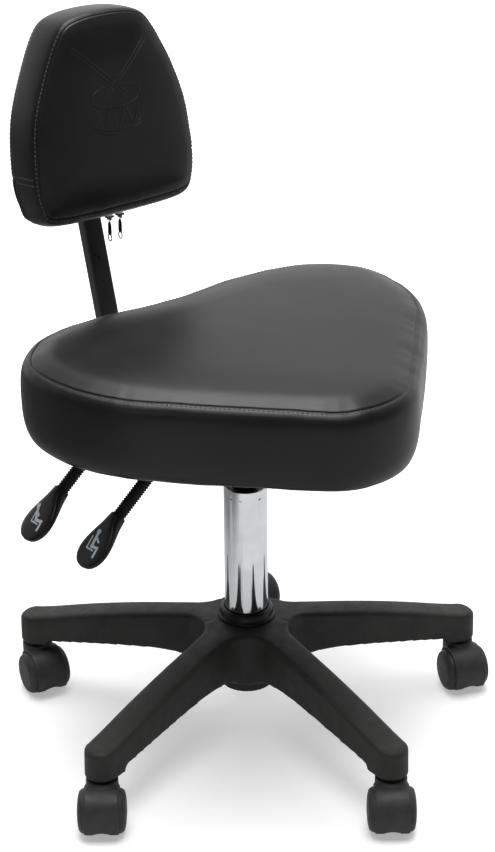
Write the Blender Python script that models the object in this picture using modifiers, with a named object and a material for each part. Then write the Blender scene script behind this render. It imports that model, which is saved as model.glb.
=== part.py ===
"""A drum throne: a wheeled five-leg base, a gas-lift column, a tractor-shaped seat with two
paddle levers below it, and a small backrest on a bent steel bar.

Metres, +Z up. The world's origin is the centre of the throne's footprint on the floor. Every
piece is laid out round the column's axis, which COLUMN places beside that origin. The seat's
nose points to -Y, the backrest is at +Y, and the levers come out on the -X side.
"""

import math

import bmesh
import bpy
from mathutils import Matrix, Vector

# The column's axis, seen from the middle of the footprint.
COLUMN = Vector((0.0145, -0.0028, 0.0))

GAP = 0.0003            # between faces that touch

# Five-leg base.
LEG_COUNT = 5
FIRST_LEG = 38.9        # heading of the first leg, in degrees from +Y towards +X
LEG_PITCH = 0.268       # column axis to caster stem
LEG_HALF = 0.0185       # half of a leg's width, and the radius of its round end
LEG_BOTTOM = 0.060      # underside of a leg's end
ROOT_FILLET = 0.030     # plan radius between two legs
LEG_EDGE = 0.0075       # how far the rounded top edge reaches in from a leg's side
HUB_RADIUS = 0.0535
HUB_TOP = 0.137
HUB_BOTTOM = 0.050
HUB_RIM_BOTTOM = 0.073  # underside of the hub's rim, above its central boss
COLLAR_TOP = 0.150      # of the plastic ring round the column

# Casters.
WHEEL_RADIUS = 0.025
CASTER_TRAIL = 0.018    # stem axis to wheel axle
CASTER_HEADINGS = (188.4, 200.9, 218.4, 218.4, 191.0)
WEB_HALF = 0.0075       # half of the wall between the wheels
HOOD_RADIUS = 0.0284
HOOD_HALF = 0.0195
HOOD_TOP = 0.0565
AXLE_RADIUS = 0.003
AXLE_REACH = 0.0235
STEM_RADIUS = 0.0055
STEM_TOP = 0.084
STEM_BOTTOM = 0.034
STEM_FLANGE = 0.008
JOURNAL_RADIUS = 0.0045 # the stem below its flange, on which the hood turns
NECK_RADIUS = 0.0178
DISC_REACH = 0.0272     # middle of the caster to the outer face of a wheel

# Column.
TUBE_RADIUS = 0.025
TUBE_WALL = 0.0015
TUBE_TOP = 0.305
BUSH_BOTTOM = 0.235
CYLINDER_RADIUS = 0.014
CYLINDER_BOTTOM = 0.120
CYLINDER_TOP = 0.372
CYLINDER_ROOF = 0.338   # top of the gas space
GAS_RADIUS = 0.0115
TAPER_START = 0.345     # where the cylinder starts to taper into the mechanism
TAPER_RADIUS = 0.0130
ROD_RADIUS = 0.005
ROD_BOTTOM = 0.0455
COLLAR_RADIUS = 0.011   # the rod's shoulder, which stands on the thrust bearing
PISTON_Z = 0.275
PISTON_RADIUS = 0.0112
PISTON_HEIGHT = 0.012
PIN_RADIUS = 0.004
PIN_BOTTOM = 0.3545
PIN_TOP = 0.3780
PIN_SEAT = 0.350        # floor of the release pin's bore
CRIMP_ANGLES = (178.8, 230.9, 259.3)
CRIMP_DROP = 0.0095     # below the tube's rim
CRIMP_RADIUS = 0.0017

# Seat mechanism.
HOUSING_LOW = Vector((-0.065, -0.075, 0.350))
HOUSING_HIGH = Vector((0.065, 0.125, 0.389))
SHEET = 0.0025          # pressed steel
CUT_TOP = 0.400         # above everything the housing's cutters have to open
WINDOW_LOW = 0.362      # bottom edge of the levers' windows
SOCKET_RADIUS = 0.0190  # the socket that grips the top of the gas cylinder
SOCKET_TOP = 0.368
PAWL_LOW = Vector((-0.0060, 0.0600, 0.3590))
PAWL_HIGH = Vector((0.0060, 0.0740, 0.3780))
PLATE_LOW = Vector((-0.100, -0.100, 0.3895))
PLATE_HIGH = Vector((0.100, 0.095, 0.3920))
BOLT_PLACES = ((-0.075, -0.080), (0.075, -0.080), (-0.075, 0.070), (0.075, 0.070))
BOLT_RADIUS = 0.003

# Levers: pivot, kink, and the two slopes below it.
LEVER_PIVOT_X = -0.045
LEVER_PIVOT_Z = 0.378
LEVER_PIN_RADIUS = 0.0020
EAR_NEAR = 0.0062       # a lever's middle to the inner and outer faces of its ears
EAR_FAR = 0.0085
LEVER_RADIUS = 0.004
HEIGHT_LEVER_Y = -0.020
TILT_LEVER_Y = 0.050
KINK_Z = 0.370          # where a rod bends down
ROD_SLOPE = math.radians(40.0)
SLEEVE_GAP = 0.004      # along the rod, from its bend to the rubber sleeve
HEIGHT_SLEEVE_LENGTH = 0.055
TILT_SLEEVE_LENGTH = 0.035
SLEEVE_RADIUS = 0.0071
PADDLE_LENGTH = 0.067
PADDLE_SLOPE = math.radians(42.0)

# Back bracket and bar.
BACK_PIVOT = Vector((0.0, 0.105, 0.370))
BACK_PIN_RADIUS = 0.004
BACK_PIN_REACH = 0.068
PIVOT_CUT = Vector((0.080, 0.0, 0.0))
BAR_HALF_X = 0.013
BAR_HALF_Y = 0.0075
BAR_WALL = 0.002
BAR_Z = 0.370
BAR_FRONT_Y = 0.130
BAR_LEAN = math.radians(14.8)
BAR_MARK = Vector((0.0, 0.2672, 0.451))     # a point on the leaning stretch's middle line
BAR_BEHIND = 0.0665     # the bar's front face behind the backrest's front seam
BAR_TOP = 0.135         # the bar's top end above the bottom of that seam
BAR_BEND = 0.035
SLEEVE_REAR_Y = 0.190
KNOB_Y = 0.165
STUD_RADIUS = 0.003
BAR_CORNER = 0.0030     # cut off the bar's outer corners

# Seat cushion: half of the seam's outline from the back round to the nose, then its depths.
SEAT_SEAM_HALF = (
    (0.000, 0.123), (0.104, 0.130), (0.182, 0.118), (0.2310, 0.0720), (0.2349, 0.0080),
    (0.210, -0.050), (0.163, -0.102), (0.091, -0.172), (0.044, -0.215), (0.000, -0.226),
)
SEAT_CENTRE = Vector((0.0, -0.020))
SEAT_CORE = 0.150       # inward reach of the cushion's profile
SEAT_PROFILE = (
    (-0.1500, 0.4995), (-0.0700, 0.4972), (-0.0250, 0.4918), (0.0000, 0.4887), (0.0090, 0.4790),
    (0.0127, 0.4550), (0.0115, 0.4220), (0.0050, 0.4030), (-0.0110, 0.3900),
)
SEAT_RISE = 0.003       # lift of the pad and its plate at the column
SEAT_SLOPE = 0.0394     # and how fast they climb towards the back
SEAT_TIPPED_FROM = 0.3845
SEAT_FLAP = ((-0.0210, 0.3918), (-0.0270, 0.3952), (-0.0400, 0.3955))
COVER_THICKNESS = 0.0015
BOARD_LOW = 0.3975
BOARD_HIGH = 0.4095
BOARD_INSET = 0.022
DUST_LOW = 0.3926
DUST_HIGH = 0.3934

# Backrest: the seam's outline in its own plane, then its depths behind that plane.
BACK_BASE = Vector((0.0, 0.2252, 0.5794))   # bottom of the front seam
BACK_LEAN = math.radians(6.17)
BACK_SEAM_HALF = (
    (0.0000, 0.2200), (0.0392, 0.2165), (0.0594, 0.2042), (0.0839, 0.1590), (0.1019, 0.1079),
    (0.1073, 0.0480), (0.1035, 0.0180), (0.0880, 0.0015), (0.0000, -0.0010),
)
BACK_CENTRE = Vector((0.0, 0.100))
BACK_CORE = 0.080
BACK_PROFILE = (
    (-0.0800, -0.0095), (-0.0300, -0.0060), (0.0000, 0.0000), (0.0042, 0.0095), (0.0052, 0.0270),
    (0.0046, 0.0450), (-0.0010, 0.0578), (-0.0130, 0.0634), (-0.0800, 0.0655),
)
BOTTOM_SWELL = 1.35     # how much further the band swells along the bottom
BACK_BOARD_FRONT = 0.046
BACK_BOARD_REAR = 0.056
BACK_BOARD_INSET = 0.014
BACK_BOLT_HEIGHTS = (0.045, 0.105)
ZIP_DEPTH = 0.0425      # zip line behind the front seam
ZIP_HALF = 0.003
ZIP_INNER = 0.0070
ZIP_OUTER = 0.0084
SLIDER_X = (0.0105, 0.0255)

OFFSET_SHARE = 0.15     # of a cushion's core, over which its outline moves in square to itself

SEGMENTS = {"fine": 32, "plain": 20, "small": 8}

FINISHES = {
    "base_nylon": ((0.030, 0.030, 0.030), 0.62, 0.0),
    "caster_plastic": ((0.040, 0.040, 0.042), 0.50, 0.0),
    "chrome": ((0.86, 0.86, 0.88), 0.08, 1.0),
    "black_plastic": ((0.020, 0.020, 0.020), 0.40, 0.0),
    "rubber_black": ((0.020, 0.020, 0.020), 0.75, 0.0),
    "black_steel": ((0.025, 0.025, 0.025), 0.38, 0.0),
    "plain_steel": ((0.48, 0.48, 0.50), 0.35, 1.0),
    "vinyl": ((0.018, 0.018, 0.020), 0.33, 0.0),
    "foam": ((0.72, 0.68, 0.52), 0.90, 0.0),
    "plywood": ((0.55, 0.38, 0.22), 0.70, 0.0),
    "dust_cloth": ((0.030, 0.030, 0.030), 0.95, 0.0),
    "zip_tape": ((0.020, 0.020, 0.020), 0.90, 0.0),
    "zip_metal": ((0.30, 0.30, 0.31), 0.35, 1.0),
}


# ---------------------------------------------------------------- scene helpers

def clear_scene():
    for obj in list(bpy.data.objects):
        bpy.data.objects.remove(obj, do_unlink=True)


def new_collection(name):
    made = bpy.data.collections.new(name)
    bpy.context.scene.collection.children.link(made)
    return made


def finish(name):
    """The Principled material of a finish, made once."""
    made = bpy.data.materials.get(name)
    if made is None:
        colour, roughness, metallic = FINISHES[name]
        made = bpy.data.materials.new(name)
        made.use_nodes = True
        shader = made.node_tree.nodes["Principled BSDF"]
        shader.inputs["Base Color"].default_value = (*colour, 1.0)
        shader.inputs["Roughness"].default_value = roughness
        shader.inputs["Metallic"].default_value = metallic
    return made


def heading(degrees):
    """Unit vector at an angle from +Y towards +X."""
    angle = math.radians(degrees)
    return Vector((math.sin(angle), math.cos(angle), 0.0))


def body(name, pivot=(0.0, 0.0, 0.0), turn=0.0):
    """An empty on a joint's axis, which carries the pieces that move together."""
    empty = bpy.data.objects.new(name + "_body", None)
    PARTS.objects.link(empty)
    empty.location = Vector(pivot)
    empty.rotation_euler = (0.0, 0.0, turn)
    empty.parent = THRONE
    return empty


def put(obj, carrier, finish_name=None, at=(0.0, 0.0, 0.0), spin=(0.0, 0.0, 0.0)):
    """Hang a piece on its body. Without a finish it is a cutter or a joined shape."""
    collection = PARTS if finish_name else CUTTERS
    collection.objects.link(obj)
    obj.parent = carrier
    if carrier.rotation_euler.z:
        obj.location = Vector(at)
    else:
        obj.location = Vector(at) - carrier.location
    obj.rotation_euler = spin
    if finish_name:
        obj.data.materials.append(finish(finish_name))
    else:
        obj.hide_render = True
        obj.display_type = "WIRE"
    return obj


def mesh_object(name, bm, sharp=35.0):
    """An object from a bmesh whose faces all point outwards."""
    bmesh.ops.recalc_face_normals(bm, faces=bm.faces)
    return surface_object(name, bm, sharp)


def surface_object(name, bm, sharp=35.0):
    """An object from a bmesh as it is, smooth but for its sharp edges."""
    mesh = bpy.data.meshes.new(name)
    bm.to_mesh(mesh)
    bm.free()
    mesh.shade_smooth()
    mesh.set_sharp_from_angle(angle=math.radians(sharp))
    return bpy.data.objects.new(name, mesh)


def add_boolean(target, operation, *tools):
    for tool in tools:
        modifier = target.modifiers.new(operation.lower(), "BOOLEAN")
        modifier.operation = operation
        modifier.solver = "EXACT"
        modifier.object = tool
    return target


def cut(target, *tools):
    return add_boolean(target, "DIFFERENCE", *tools)


def join(target, *tools):
    return add_boolean(target, "UNION", *tools)


# ---------------------------------------------------------------- shapes

def add_box(bm, low, high):
    low, high = Vector(low), Vector(high)
    made = bmesh.ops.create_cube(bm, size=1.0)["verts"]
    bmesh.ops.scale(bm, vec=high - low, verts=made)
    bmesh.ops.translate(bm, vec=(low + high) / 2.0, verts=made)


def add_bar(bm, radius, start, end, steps, end_radius=None):
    """A round bar, or a cone, between two points."""
    start, end = Vector(start), Vector(end)
    along = end - start
    made = bmesh.ops.create_cone(
        bm, cap_ends=True, segments=steps, radius1=radius,
        radius2=radius if end_radius is None else end_radius, depth=along.length)["verts"]
    turn = along.to_track_quat("Z", "Y").to_matrix().to_4x4()
    bmesh.ops.transform(bm, matrix=Matrix.Translation((start + end) / 2.0) @ turn, verts=made)


def boxes(name, *corners):
    bm = bmesh.new()
    for low, high in corners:
        add_box(bm, low, high)
    return mesh_object(name, bm)


def bars(name, radius, *ends, steps=SEGMENTS["plain"]):
    bm = bmesh.new()
    for start, end in ends:
        add_bar(bm, radius, start, end, steps)
    return mesh_object(name, bm)


def turned(name, profile, steps=SEGMENTS["plain"], ring=False):
    """A turned piece on +Z. The profile, (radius, z), runs down the outer side."""
    mesh = bpy.data.meshes.new(name)
    points = [(radius, 0.0, z) for radius, z in profile]
    edges = [(i, i + 1) for i in range(len(points) - 1)]
    if ring:
        edges.append((len(points) - 1, 0))
    mesh.from_pydata(points, edges, [])
    obj = bpy.data.objects.new(name, mesh)
    screw = obj.modifiers.new("screw", "SCREW")
    screw.steps = steps
    screw.render_steps = steps
    screw.use_merge_vertices = True
    screw.merge_threshold = 0.00001
    screw.use_smooth_shade = True
    return obj


def join_rings(bm, rings, closed=False):
    """Quads between neighbouring rings of vertices."""
    pairs = list(zip(rings, rings[1:]))
    if closed:
        pairs.append((rings[-1], rings[0]))
    for upper, lower in pairs:
        for i in range(len(upper)):
            after = (i + 1) % len(upper)
            bm.faces.new((upper[i], upper[after], lower[after], lower[i]))


def fan(bm, ring, centre, flip=False):
    """Triangles from a ring of vertices to one point."""
    tip = bm.verts.new(centre)
    for i in range(len(ring)):
        after = (i + 1) % len(ring)
        corners = (ring[after], ring[i], tip)
        bm.faces.new(corners[::-1] if flip else corners)


def loft(name, sections, closed=False, sharp=35.0):
    """A solid through sections of equally many points, flat at both ends unless closed."""
    bm = bmesh.new()
    rings = [[bm.verts.new(point) for point in section] for section in sections]
    join_rings(bm, rings, closed)
    if not closed:
        bm.faces.new(rings[0])
        bm.faces.new(rings[-1])
    return mesh_object(name, bm, sharp)


def tube_through(name, points, radius):
    """A round rod along a list of points, as a mesh."""
    curve = bpy.data.curves.new(name, "CURVE")
    curve.dimensions = "3D"
    curve.bevel_depth = radius
    curve.bevel_resolution = 2
    curve.use_fill_caps = True
    curve.resolution_u = 2
    spline = curve.splines.new("BEZIER")
    spline.bezier_points.add(len(points) - 1)
    for handle, point in zip(spline.bezier_points, points):
        handle.co = point
        handle.handle_left_type = "AUTO"
        handle.handle_right_type = "AUTO"
    drawn = bpy.data.objects.new(name + "_curve", curve)
    CUTTERS.objects.link(drawn)
    bpy.context.view_layer.update()
    evaluated = drawn.evaluated_get(bpy.context.evaluated_depsgraph_get())
    mesh = bpy.data.meshes.new_from_object(evaluated)
    bm = bmesh.new()
    bm.from_mesh(mesh)
    bmesh.ops.remove_doubles(bm, verts=bm.verts, dist=0.00001)
    solid = mesh_object(name, bm)
    solid.matrix_world = drawn.matrix_world
    bpy.data.objects.remove(drawn, do_unlink=True)
    return solid


# ---------------------------------------------------------------- outlines and cushions

def smooth_loop(half, per_span):
    """A smooth closed outline through the points of one half and their mirror images."""
    points = [Vector(p) for p in half]
    points += [Vector((-x, y)) for x, y in reversed(half[1:-1])]
    count = len(points)
    loop = []
    for i in range(count):
        before, start, end, after = (points[(i + k - 1) % count] for k in range(4))
        for step in range(per_span):
            t = step / per_span
            loop.append(0.5 * (2.0 * start + (end - before) * t
                               + (2.0 * before - 5.0 * start + 4.0 * end - after) * t * t
                               + (3.0 * start - before - 3.0 * end + after) * t ** 3))
    return loop


def moved_loop(loop, reach, centre, core, swell=0.0):
    """The outline moved outwards by reach, or inwards where reach is negative.

    Past a small share of the core's width, inward moves shrink the outline towards its
    centre, so that it stays smooth. swell adds to outward moves where the outline faces -Y.
    """
    near = max(reach, -core * OFFSET_SHARE)
    count = len(loop)
    moved = []
    for i, point in enumerate(loop):
        along = loop[(i + 1) % count] - loop[i - 1]
        out = Vector((-along.y, along.x)).normalized()
        extra = 1.0 + swell * max(0.0, -out.y) ** 2 if near > 0.0 else 1.0
        moved.append(point + out * near * extra)
    if reach < near:
        scale = (core + reach) / (core + near)
        moved = [centre + (point - centre) * scale for point in moved]
    return moved


def inner_profile(profile, depth, side=1.0):
    """The profile moved inwards by a depth, square to itself.

    side is 1 where levels fall from the middle to the rim, and -1 where they grow.
    """
    moved = []
    last = len(profile) - 1
    for i, (reach, level) in enumerate(profile):
        before = Vector(profile[max(i - 1, 0)])
        after = Vector(profile[min(i + 1, last)])
        along = (after - before).normalized()
        inwards = Vector((along.y, -along.x)) * depth * side
        moved.append((reach + inwards.x, level + inwards.y))
    return moved


def cushion_rings(bm, outline, profile, centre, core, to_space, swell=0.0):
    """Rings of vertices for a cushion, from the middle of its top to its underside."""
    rings = []
    for reach, level in profile:
        if reach <= -core + 0.0001:
            continue
        flat = moved_loop(outline, reach, centre, core, swell)
        rings.append([bm.verts.new(to_space(p, level)) for p in flat])
    return rings


def seat_point(flat, level):
    return Vector((flat.x, flat.y, level))


BACK_UP = Vector((0.0, math.sin(BACK_LEAN), math.cos(BACK_LEAN)))
BACK_REARWARD = Vector((0.0, math.cos(BACK_LEAN), -math.sin(BACK_LEAN)))


def back_point(flat, depth):
    """A point of the backrest from its place in the seam's plane and its depth behind it."""
    return BACK_BASE + Vector((flat[0], 0.0, 0.0)) + BACK_UP * flat[1] + BACK_REARWARD * depth


def flat_board(name, outline, inset, low, high, centre, core, to_space):
    """A flat board inside an outline."""
    flat = moved_loop(outline, -inset, centre, core)
    return loft(name, [[to_space(p, level) for p in flat] for level in (high, low)])


# ---------------------------------------------------------------- base

def leg_half_width(s):
    """Half of a leg's plan width at a distance from the column: a fillet, then straight."""
    fillet_end = LEG_HALF + ROOT_FILLET
    tangent = LEG_HALF / math.tan(math.radians(36.0)) + ROOT_FILLET / math.tan(math.radians(36.0))
    if s > tangent:
        return LEG_HALF
    bisector = s * math.tan(math.radians(36.0)) - 0.0005
    if s < tangent - ROOT_FILLET * 0.85:
        return bisector
    return min(bisector, fillet_end - math.sqrt(ROOT_FILLET ** 2 - (tangent - s) ** 2))


def leg_section(s, half, bottom, top):
    """One cross-section of a leg that points along +Y, with rounded top edges."""
    edge = min(LEG_EDGE, half * 0.6)
    side = half - 0.0006
    right = [(half, bottom), (side, top - edge * 0.75), (half - edge * 0.4, top - edge * 0.2),
             (half - edge, top)]
    points = right + [(-x, z) for x, z in reversed(right)]
    return [Vector((x, s, z)) for x, z in points]


def leg_sections():
    """A leg from inside the hub to its round end, as (distance, underside, top) stations."""
    stations = ((0.031, 0.074, 0.1365), (0.048, 0.0765, 0.1360), (0.056, 0.079, 0.1352),
                (0.067, 0.081, 0.1340), (0.105, 0.0828, 0.1290), (0.150, 0.0790, 0.1215),
                (0.200, 0.0733, 0.1115), (0.2490, 0.0672, 0.1000), (0.2496, LEG_BOTTOM, 0.0999),
                (0.268, LEG_BOTTOM, 0.0955))
    sections = [leg_section(s, leg_half_width(s), low, high) for s, low, high in stations]
    for degrees, drop in ((28.0, 0.0008), (52.0, 0.0026), (74.0, 0.0068)):
        angle = math.radians(degrees)
        s = LEG_PITCH + LEG_HALF * math.sin(angle)
        sections.append(leg_section(s, LEG_HALF * math.cos(angle), LEG_BOTTOM, 0.0955 - drop))
    return sections


def leg_cells():
    """The hollow cells under a leg, between cross ribs, as a cutter."""
    bm = bmesh.new()
    for near, far, roof in ((0.060, 0.108, 0.1250), (0.111, 0.160, 0.1165), (0.163, 0.205, 0.1075),
                            (0.208, 0.243, 0.0990)):
        add_box(bm, (-LEG_HALF + 0.0032, near, 0.040), (LEG_HALF - 0.0032, far, roof - 0.0035))
    return mesh_object("leg_cells", bm)


def make_base(root):
    top, bottom = HUB_TOP, HUB_BOTTOM
    bore = TUBE_RADIUS + GAP
    hub = turned("star_base", (
        (0.034, top), (0.0470, top - 0.0025), (0.0530, top - 0.0100), (HUB_RADIUS, HUB_RIM_BOTTOM),
        (0.032, HUB_RIM_BOTTOM - 0.002), (0.031, bottom), (bore, bottom), (bore, top),
    ), SEGMENTS["fine"], ring=True)
    put(hub, root, "base_nylon")
    leg = loft("leg", leg_sections())
    cells = leg_cells()
    for k in range(LEG_COUNT):
        turn = (0.0, 0.0, -math.radians(FIRST_LEG + 72.0 * k))
        arm = bpy.data.objects.new("leg_%d" % (k + 1), leg.data)
        join(hub, put(arm, root, spin=turn))
    for k in range(LEG_COUNT):
        turn = (0.0, 0.0, -math.radians(FIRST_LEG + 72.0 * k))
        hollow = bpy.data.objects.new("leg_cells_%d" % (k + 1), cells.data)
        cut(hub, put(hollow, root, spin=turn))
    bpy.data.objects.remove(leg, do_unlink=True)
    bpy.data.objects.remove(cells, do_unlink=True)
    places = [heading(FIRST_LEG + 72.0 * k) * LEG_PITCH for k in range(LEG_COUNT)]
    sockets = [(p + Vector((0, 0, 0.040)), p + Vector((0, 0, STEM_TOP + 0.002))) for p in places]
    cut(hub, put(bars("stem_sockets", STEM_RADIUS + GAP, *sockets), root))
    collar = turned("column_collar", (
        (0.0272, COLLAR_TOP), (0.0300, COLLAR_TOP - 0.0015), (0.0308, COLLAR_TOP - 0.0045),
        (0.0312, top + GAP), (bore, top + GAP), (bore, COLLAR_TOP - 0.0010),
    ), SEGMENTS["fine"], ring=True)
    put(collar, root, "black_plastic")
    make_stems(root, places)


def make_stems(root, places):
    """The five caster stems, each gripped in its leg's socket."""
    seat = LEG_BOTTOM - GAP
    flange_low = HOOD_TOP + 0.0007
    for number, place in enumerate(places, start=1):
        stem = turned("caster_stem_%d" % number, (
            (0.0, STEM_TOP), (STEM_RADIUS, STEM_TOP - 0.0005), (STEM_RADIUS, seat),
            (STEM_FLANGE, seat), (STEM_FLANGE, flange_low), (JOURNAL_RADIUS, flange_low),
            (JOURNAL_RADIUS, STEM_BOTTOM), (0.0, STEM_BOTTOM),
        ), 12)
        put(stem, root, "plain_steel", place)


# ---------------------------------------------------------------- casters

def make_hood(name, carrier):
    """The hood, the wall between the wheels and the axle stubs moulded on it.

    Its own +Y is the trail, and +X runs along the axle.
    """
    axle_y, axle_z = CASTER_TRAIL, WHEEL_RADIUS
    drum = ((-HOOD_HALF, axle_y, axle_z), (HOOD_HALF, axle_y, axle_z))
    hood = put(bars(name, HOOD_RADIUS, drum, steps=28), carrier, "caster_plastic")
    neck = ((0, 0, 0.030), (0, 0, HOOD_TOP))
    neck = put(bars(name + "_neck", NECK_RADIUS, neck, steps=20), carrier)
    clear = WHEEL_RADIUS + 0.0012
    wells = []
    for side in (-1, 1):
        wells.append(((side * WEB_HALF, axle_y, axle_z), (side * 0.040, axle_y, axle_z)))
    wells = put(bars(name + "_wells", clear, *wells, steps=28), carrier)
    front = put(boxes(name + "_front", ((-0.04, -0.05, -0.02), (0.04, 0.0085, 0.0405))), carrier)
    under = put(boxes(name + "_under", ((-0.03, 0.0, -0.03), (0.03, 0.06, 0.0085))), carrier)
    bore = ((0, 0, STEM_BOTTOM - 0.001), (0, 0, 0.070))
    stem_hole = put(bars(name + "_bore", JOURNAL_RADIUS + GAP, bore, steps=12), carrier)
    stubs = ((-AXLE_REACH, axle_y, axle_z), (AXLE_REACH, axle_y, axle_z))
    stubs = bars(name + "_stubs", AXLE_RADIUS, stubs, steps=12)
    join(hood, neck)
    cut(hood, wells, front, under, stem_hole)
    join(hood, put(stubs, carrier))


def wheel_profile():
    """A wheel from the middle of its domed outer face round to its bore, on +Z."""
    inner = WEB_HALF + 0.0008
    bore = AXLE_RADIUS + GAP
    bore_end = AXLE_REACH + GAP
    return ((0.0, DISC_REACH), (0.0150, DISC_REACH - 0.0008), (0.0232, DISC_REACH - 0.0042),
            (WHEEL_RADIUS, DISC_REACH - 0.0082), (WHEEL_RADIUS, inner), (bore, inner),
            (bore, bore_end), (0.0, bore_end))


def make_casters():
    for k in range(LEG_COUNT):
        number = k + 1
        stem = heading(FIRST_LEG + 72.0 * k) * LEG_PITCH
        turn = -math.radians(CASTER_HEADINGS[k])
        carrier = body("caster_%d" % number, stem, turn)
        make_hood("caster_hood_%d" % number, carrier)
        centre = Vector((0.0, CASTER_TRAIL, WHEEL_RADIUS))
        for side, word in ((-1, "left"), (1, "right")):
            wheel = turned("wheel_%s_%d" % (word, number), wheel_profile(), SEGMENTS["plain"])
            put(wheel, carrier, "caster_plastic", centre, (0.0, side * math.pi / 2.0, 0.0))


# ---------------------------------------------------------------- column

def make_column(root, spindle, seat):
    inner = TUBE_RADIUS - TUBE_WALL
    floor = HUB_BOTTOM + 0.003
    tube = turned("outer_tube", (
        (TUBE_RADIUS - 0.0005, TUBE_TOP), (TUBE_RADIUS, TUBE_TOP - 0.0008), (TUBE_RADIUS, HUB_BOTTOM),
        (ROD_RADIUS + 0.0005, HUB_BOTTOM), (ROD_RADIUS + 0.0005, floor), (inner, floor),
        (inner, TUBE_TOP),
    ), SEGMENTS["fine"], ring=True)
    put(tube, root, "chrome")
    dimples = []
    for angle in CRIMP_ANGLES:
        out = heading(angle)
        level = Vector((0, 0, TUBE_TOP - CRIMP_DROP))
        dimples.append((out * (TUBE_RADIUS - 0.0009) + level, out * (TUBE_RADIUS + 0.002) + level))
    cut(tube, put(bars("crimp_dimples", CRIMP_RADIUS, *dimples, steps=8), root))
    bush = turned("guide_bush", (
        (inner - GAP, TUBE_TOP - 0.0006), (inner - GAP, BUSH_BOTTOM),
        (CYLINDER_RADIUS + GAP, BUSH_BOTTOM),
        (CYLINDER_RADIUS + GAP, TUBE_TOP - 0.0020), (CYLINDER_RADIUS + 0.0020, TUBE_TOP - 0.0006),
    ), SEGMENTS["fine"], ring=True)
    put(bush, root, "black_plastic")

    shoulder = floor + 0.004
    rod = turned("piston_rod", (
        (0.0, PISTON_Z + PISTON_HEIGHT), (PISTON_RADIUS, PISTON_Z + PISTON_HEIGHT),
        (PISTON_RADIUS, PISTON_Z),
        (ROD_RADIUS, PISTON_Z), (ROD_RADIUS, shoulder + 0.003), (COLLAR_RADIUS, shoulder + 0.003),
        (COLLAR_RADIUS, shoulder), (ROD_RADIUS, shoulder), (ROD_RADIUS, ROD_BOTTOM),
        (0.0, ROD_BOTTOM),
    ))
    put(rod, spindle, "plain_steel")
    put(washer("thrust_bearing", 0.0125, floor + GAP, shoulder - GAP), spindle, "plain_steel")
    clip = washer("rod_clip", 0.0090, HUB_BOTTOM - 0.0018, HUB_BOTTOM - GAP)
    put(clip, spindle, "plain_steel")

    bore = PIN_RADIUS + GAP
    rod_bore = ROD_RADIUS + GAP
    gas_floor = CYLINDER_BOTTOM + 0.008
    cylinder = turned("gas_cylinder", (
        (0.0, PIN_SEAT), (bore, PIN_SEAT), (bore, CYLINDER_TOP), (TAPER_RADIUS, CYLINDER_TOP),
        (CYLINDER_RADIUS, TAPER_START), (CYLINDER_RADIUS, CYLINDER_BOTTOM),
        (rod_bore, CYLINDER_BOTTOM), (rod_bore, gas_floor), (GAS_RADIUS, gas_floor),
        (GAS_RADIUS, CYLINDER_ROOF), (0.0, CYLINDER_ROOF),
    ))
    put(cylinder, seat, "black_steel")


def washer(name, radius, low, high):
    """A flat ring round the piston rod."""
    bore = ROD_RADIUS + GAP
    return turned(name, ((radius, high), (radius, low), (bore, low), (bore, high)), ring=True)


def make_release_pin():
    carrier = body("release_pin")
    pin = turned("release_pin", (
        (0.0, PIN_TOP), (PIN_RADIUS, PIN_TOP - 0.0005), (PIN_RADIUS, PIN_BOTTOM), (0.0, PIN_BOTTOM),
    ), SEGMENTS["small"])
    put(pin, carrier, "plain_steel")


# ---------------------------------------------------------------- seat mechanism

def lever_window(y):
    """The notch in the housing's side wall that a lever comes out of."""
    x = HOUSING_LOW.x
    return ((x - 0.010, y - 0.006, WINDOW_LOW), (x + 0.010, y + 0.006, CUT_TOP))


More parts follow.
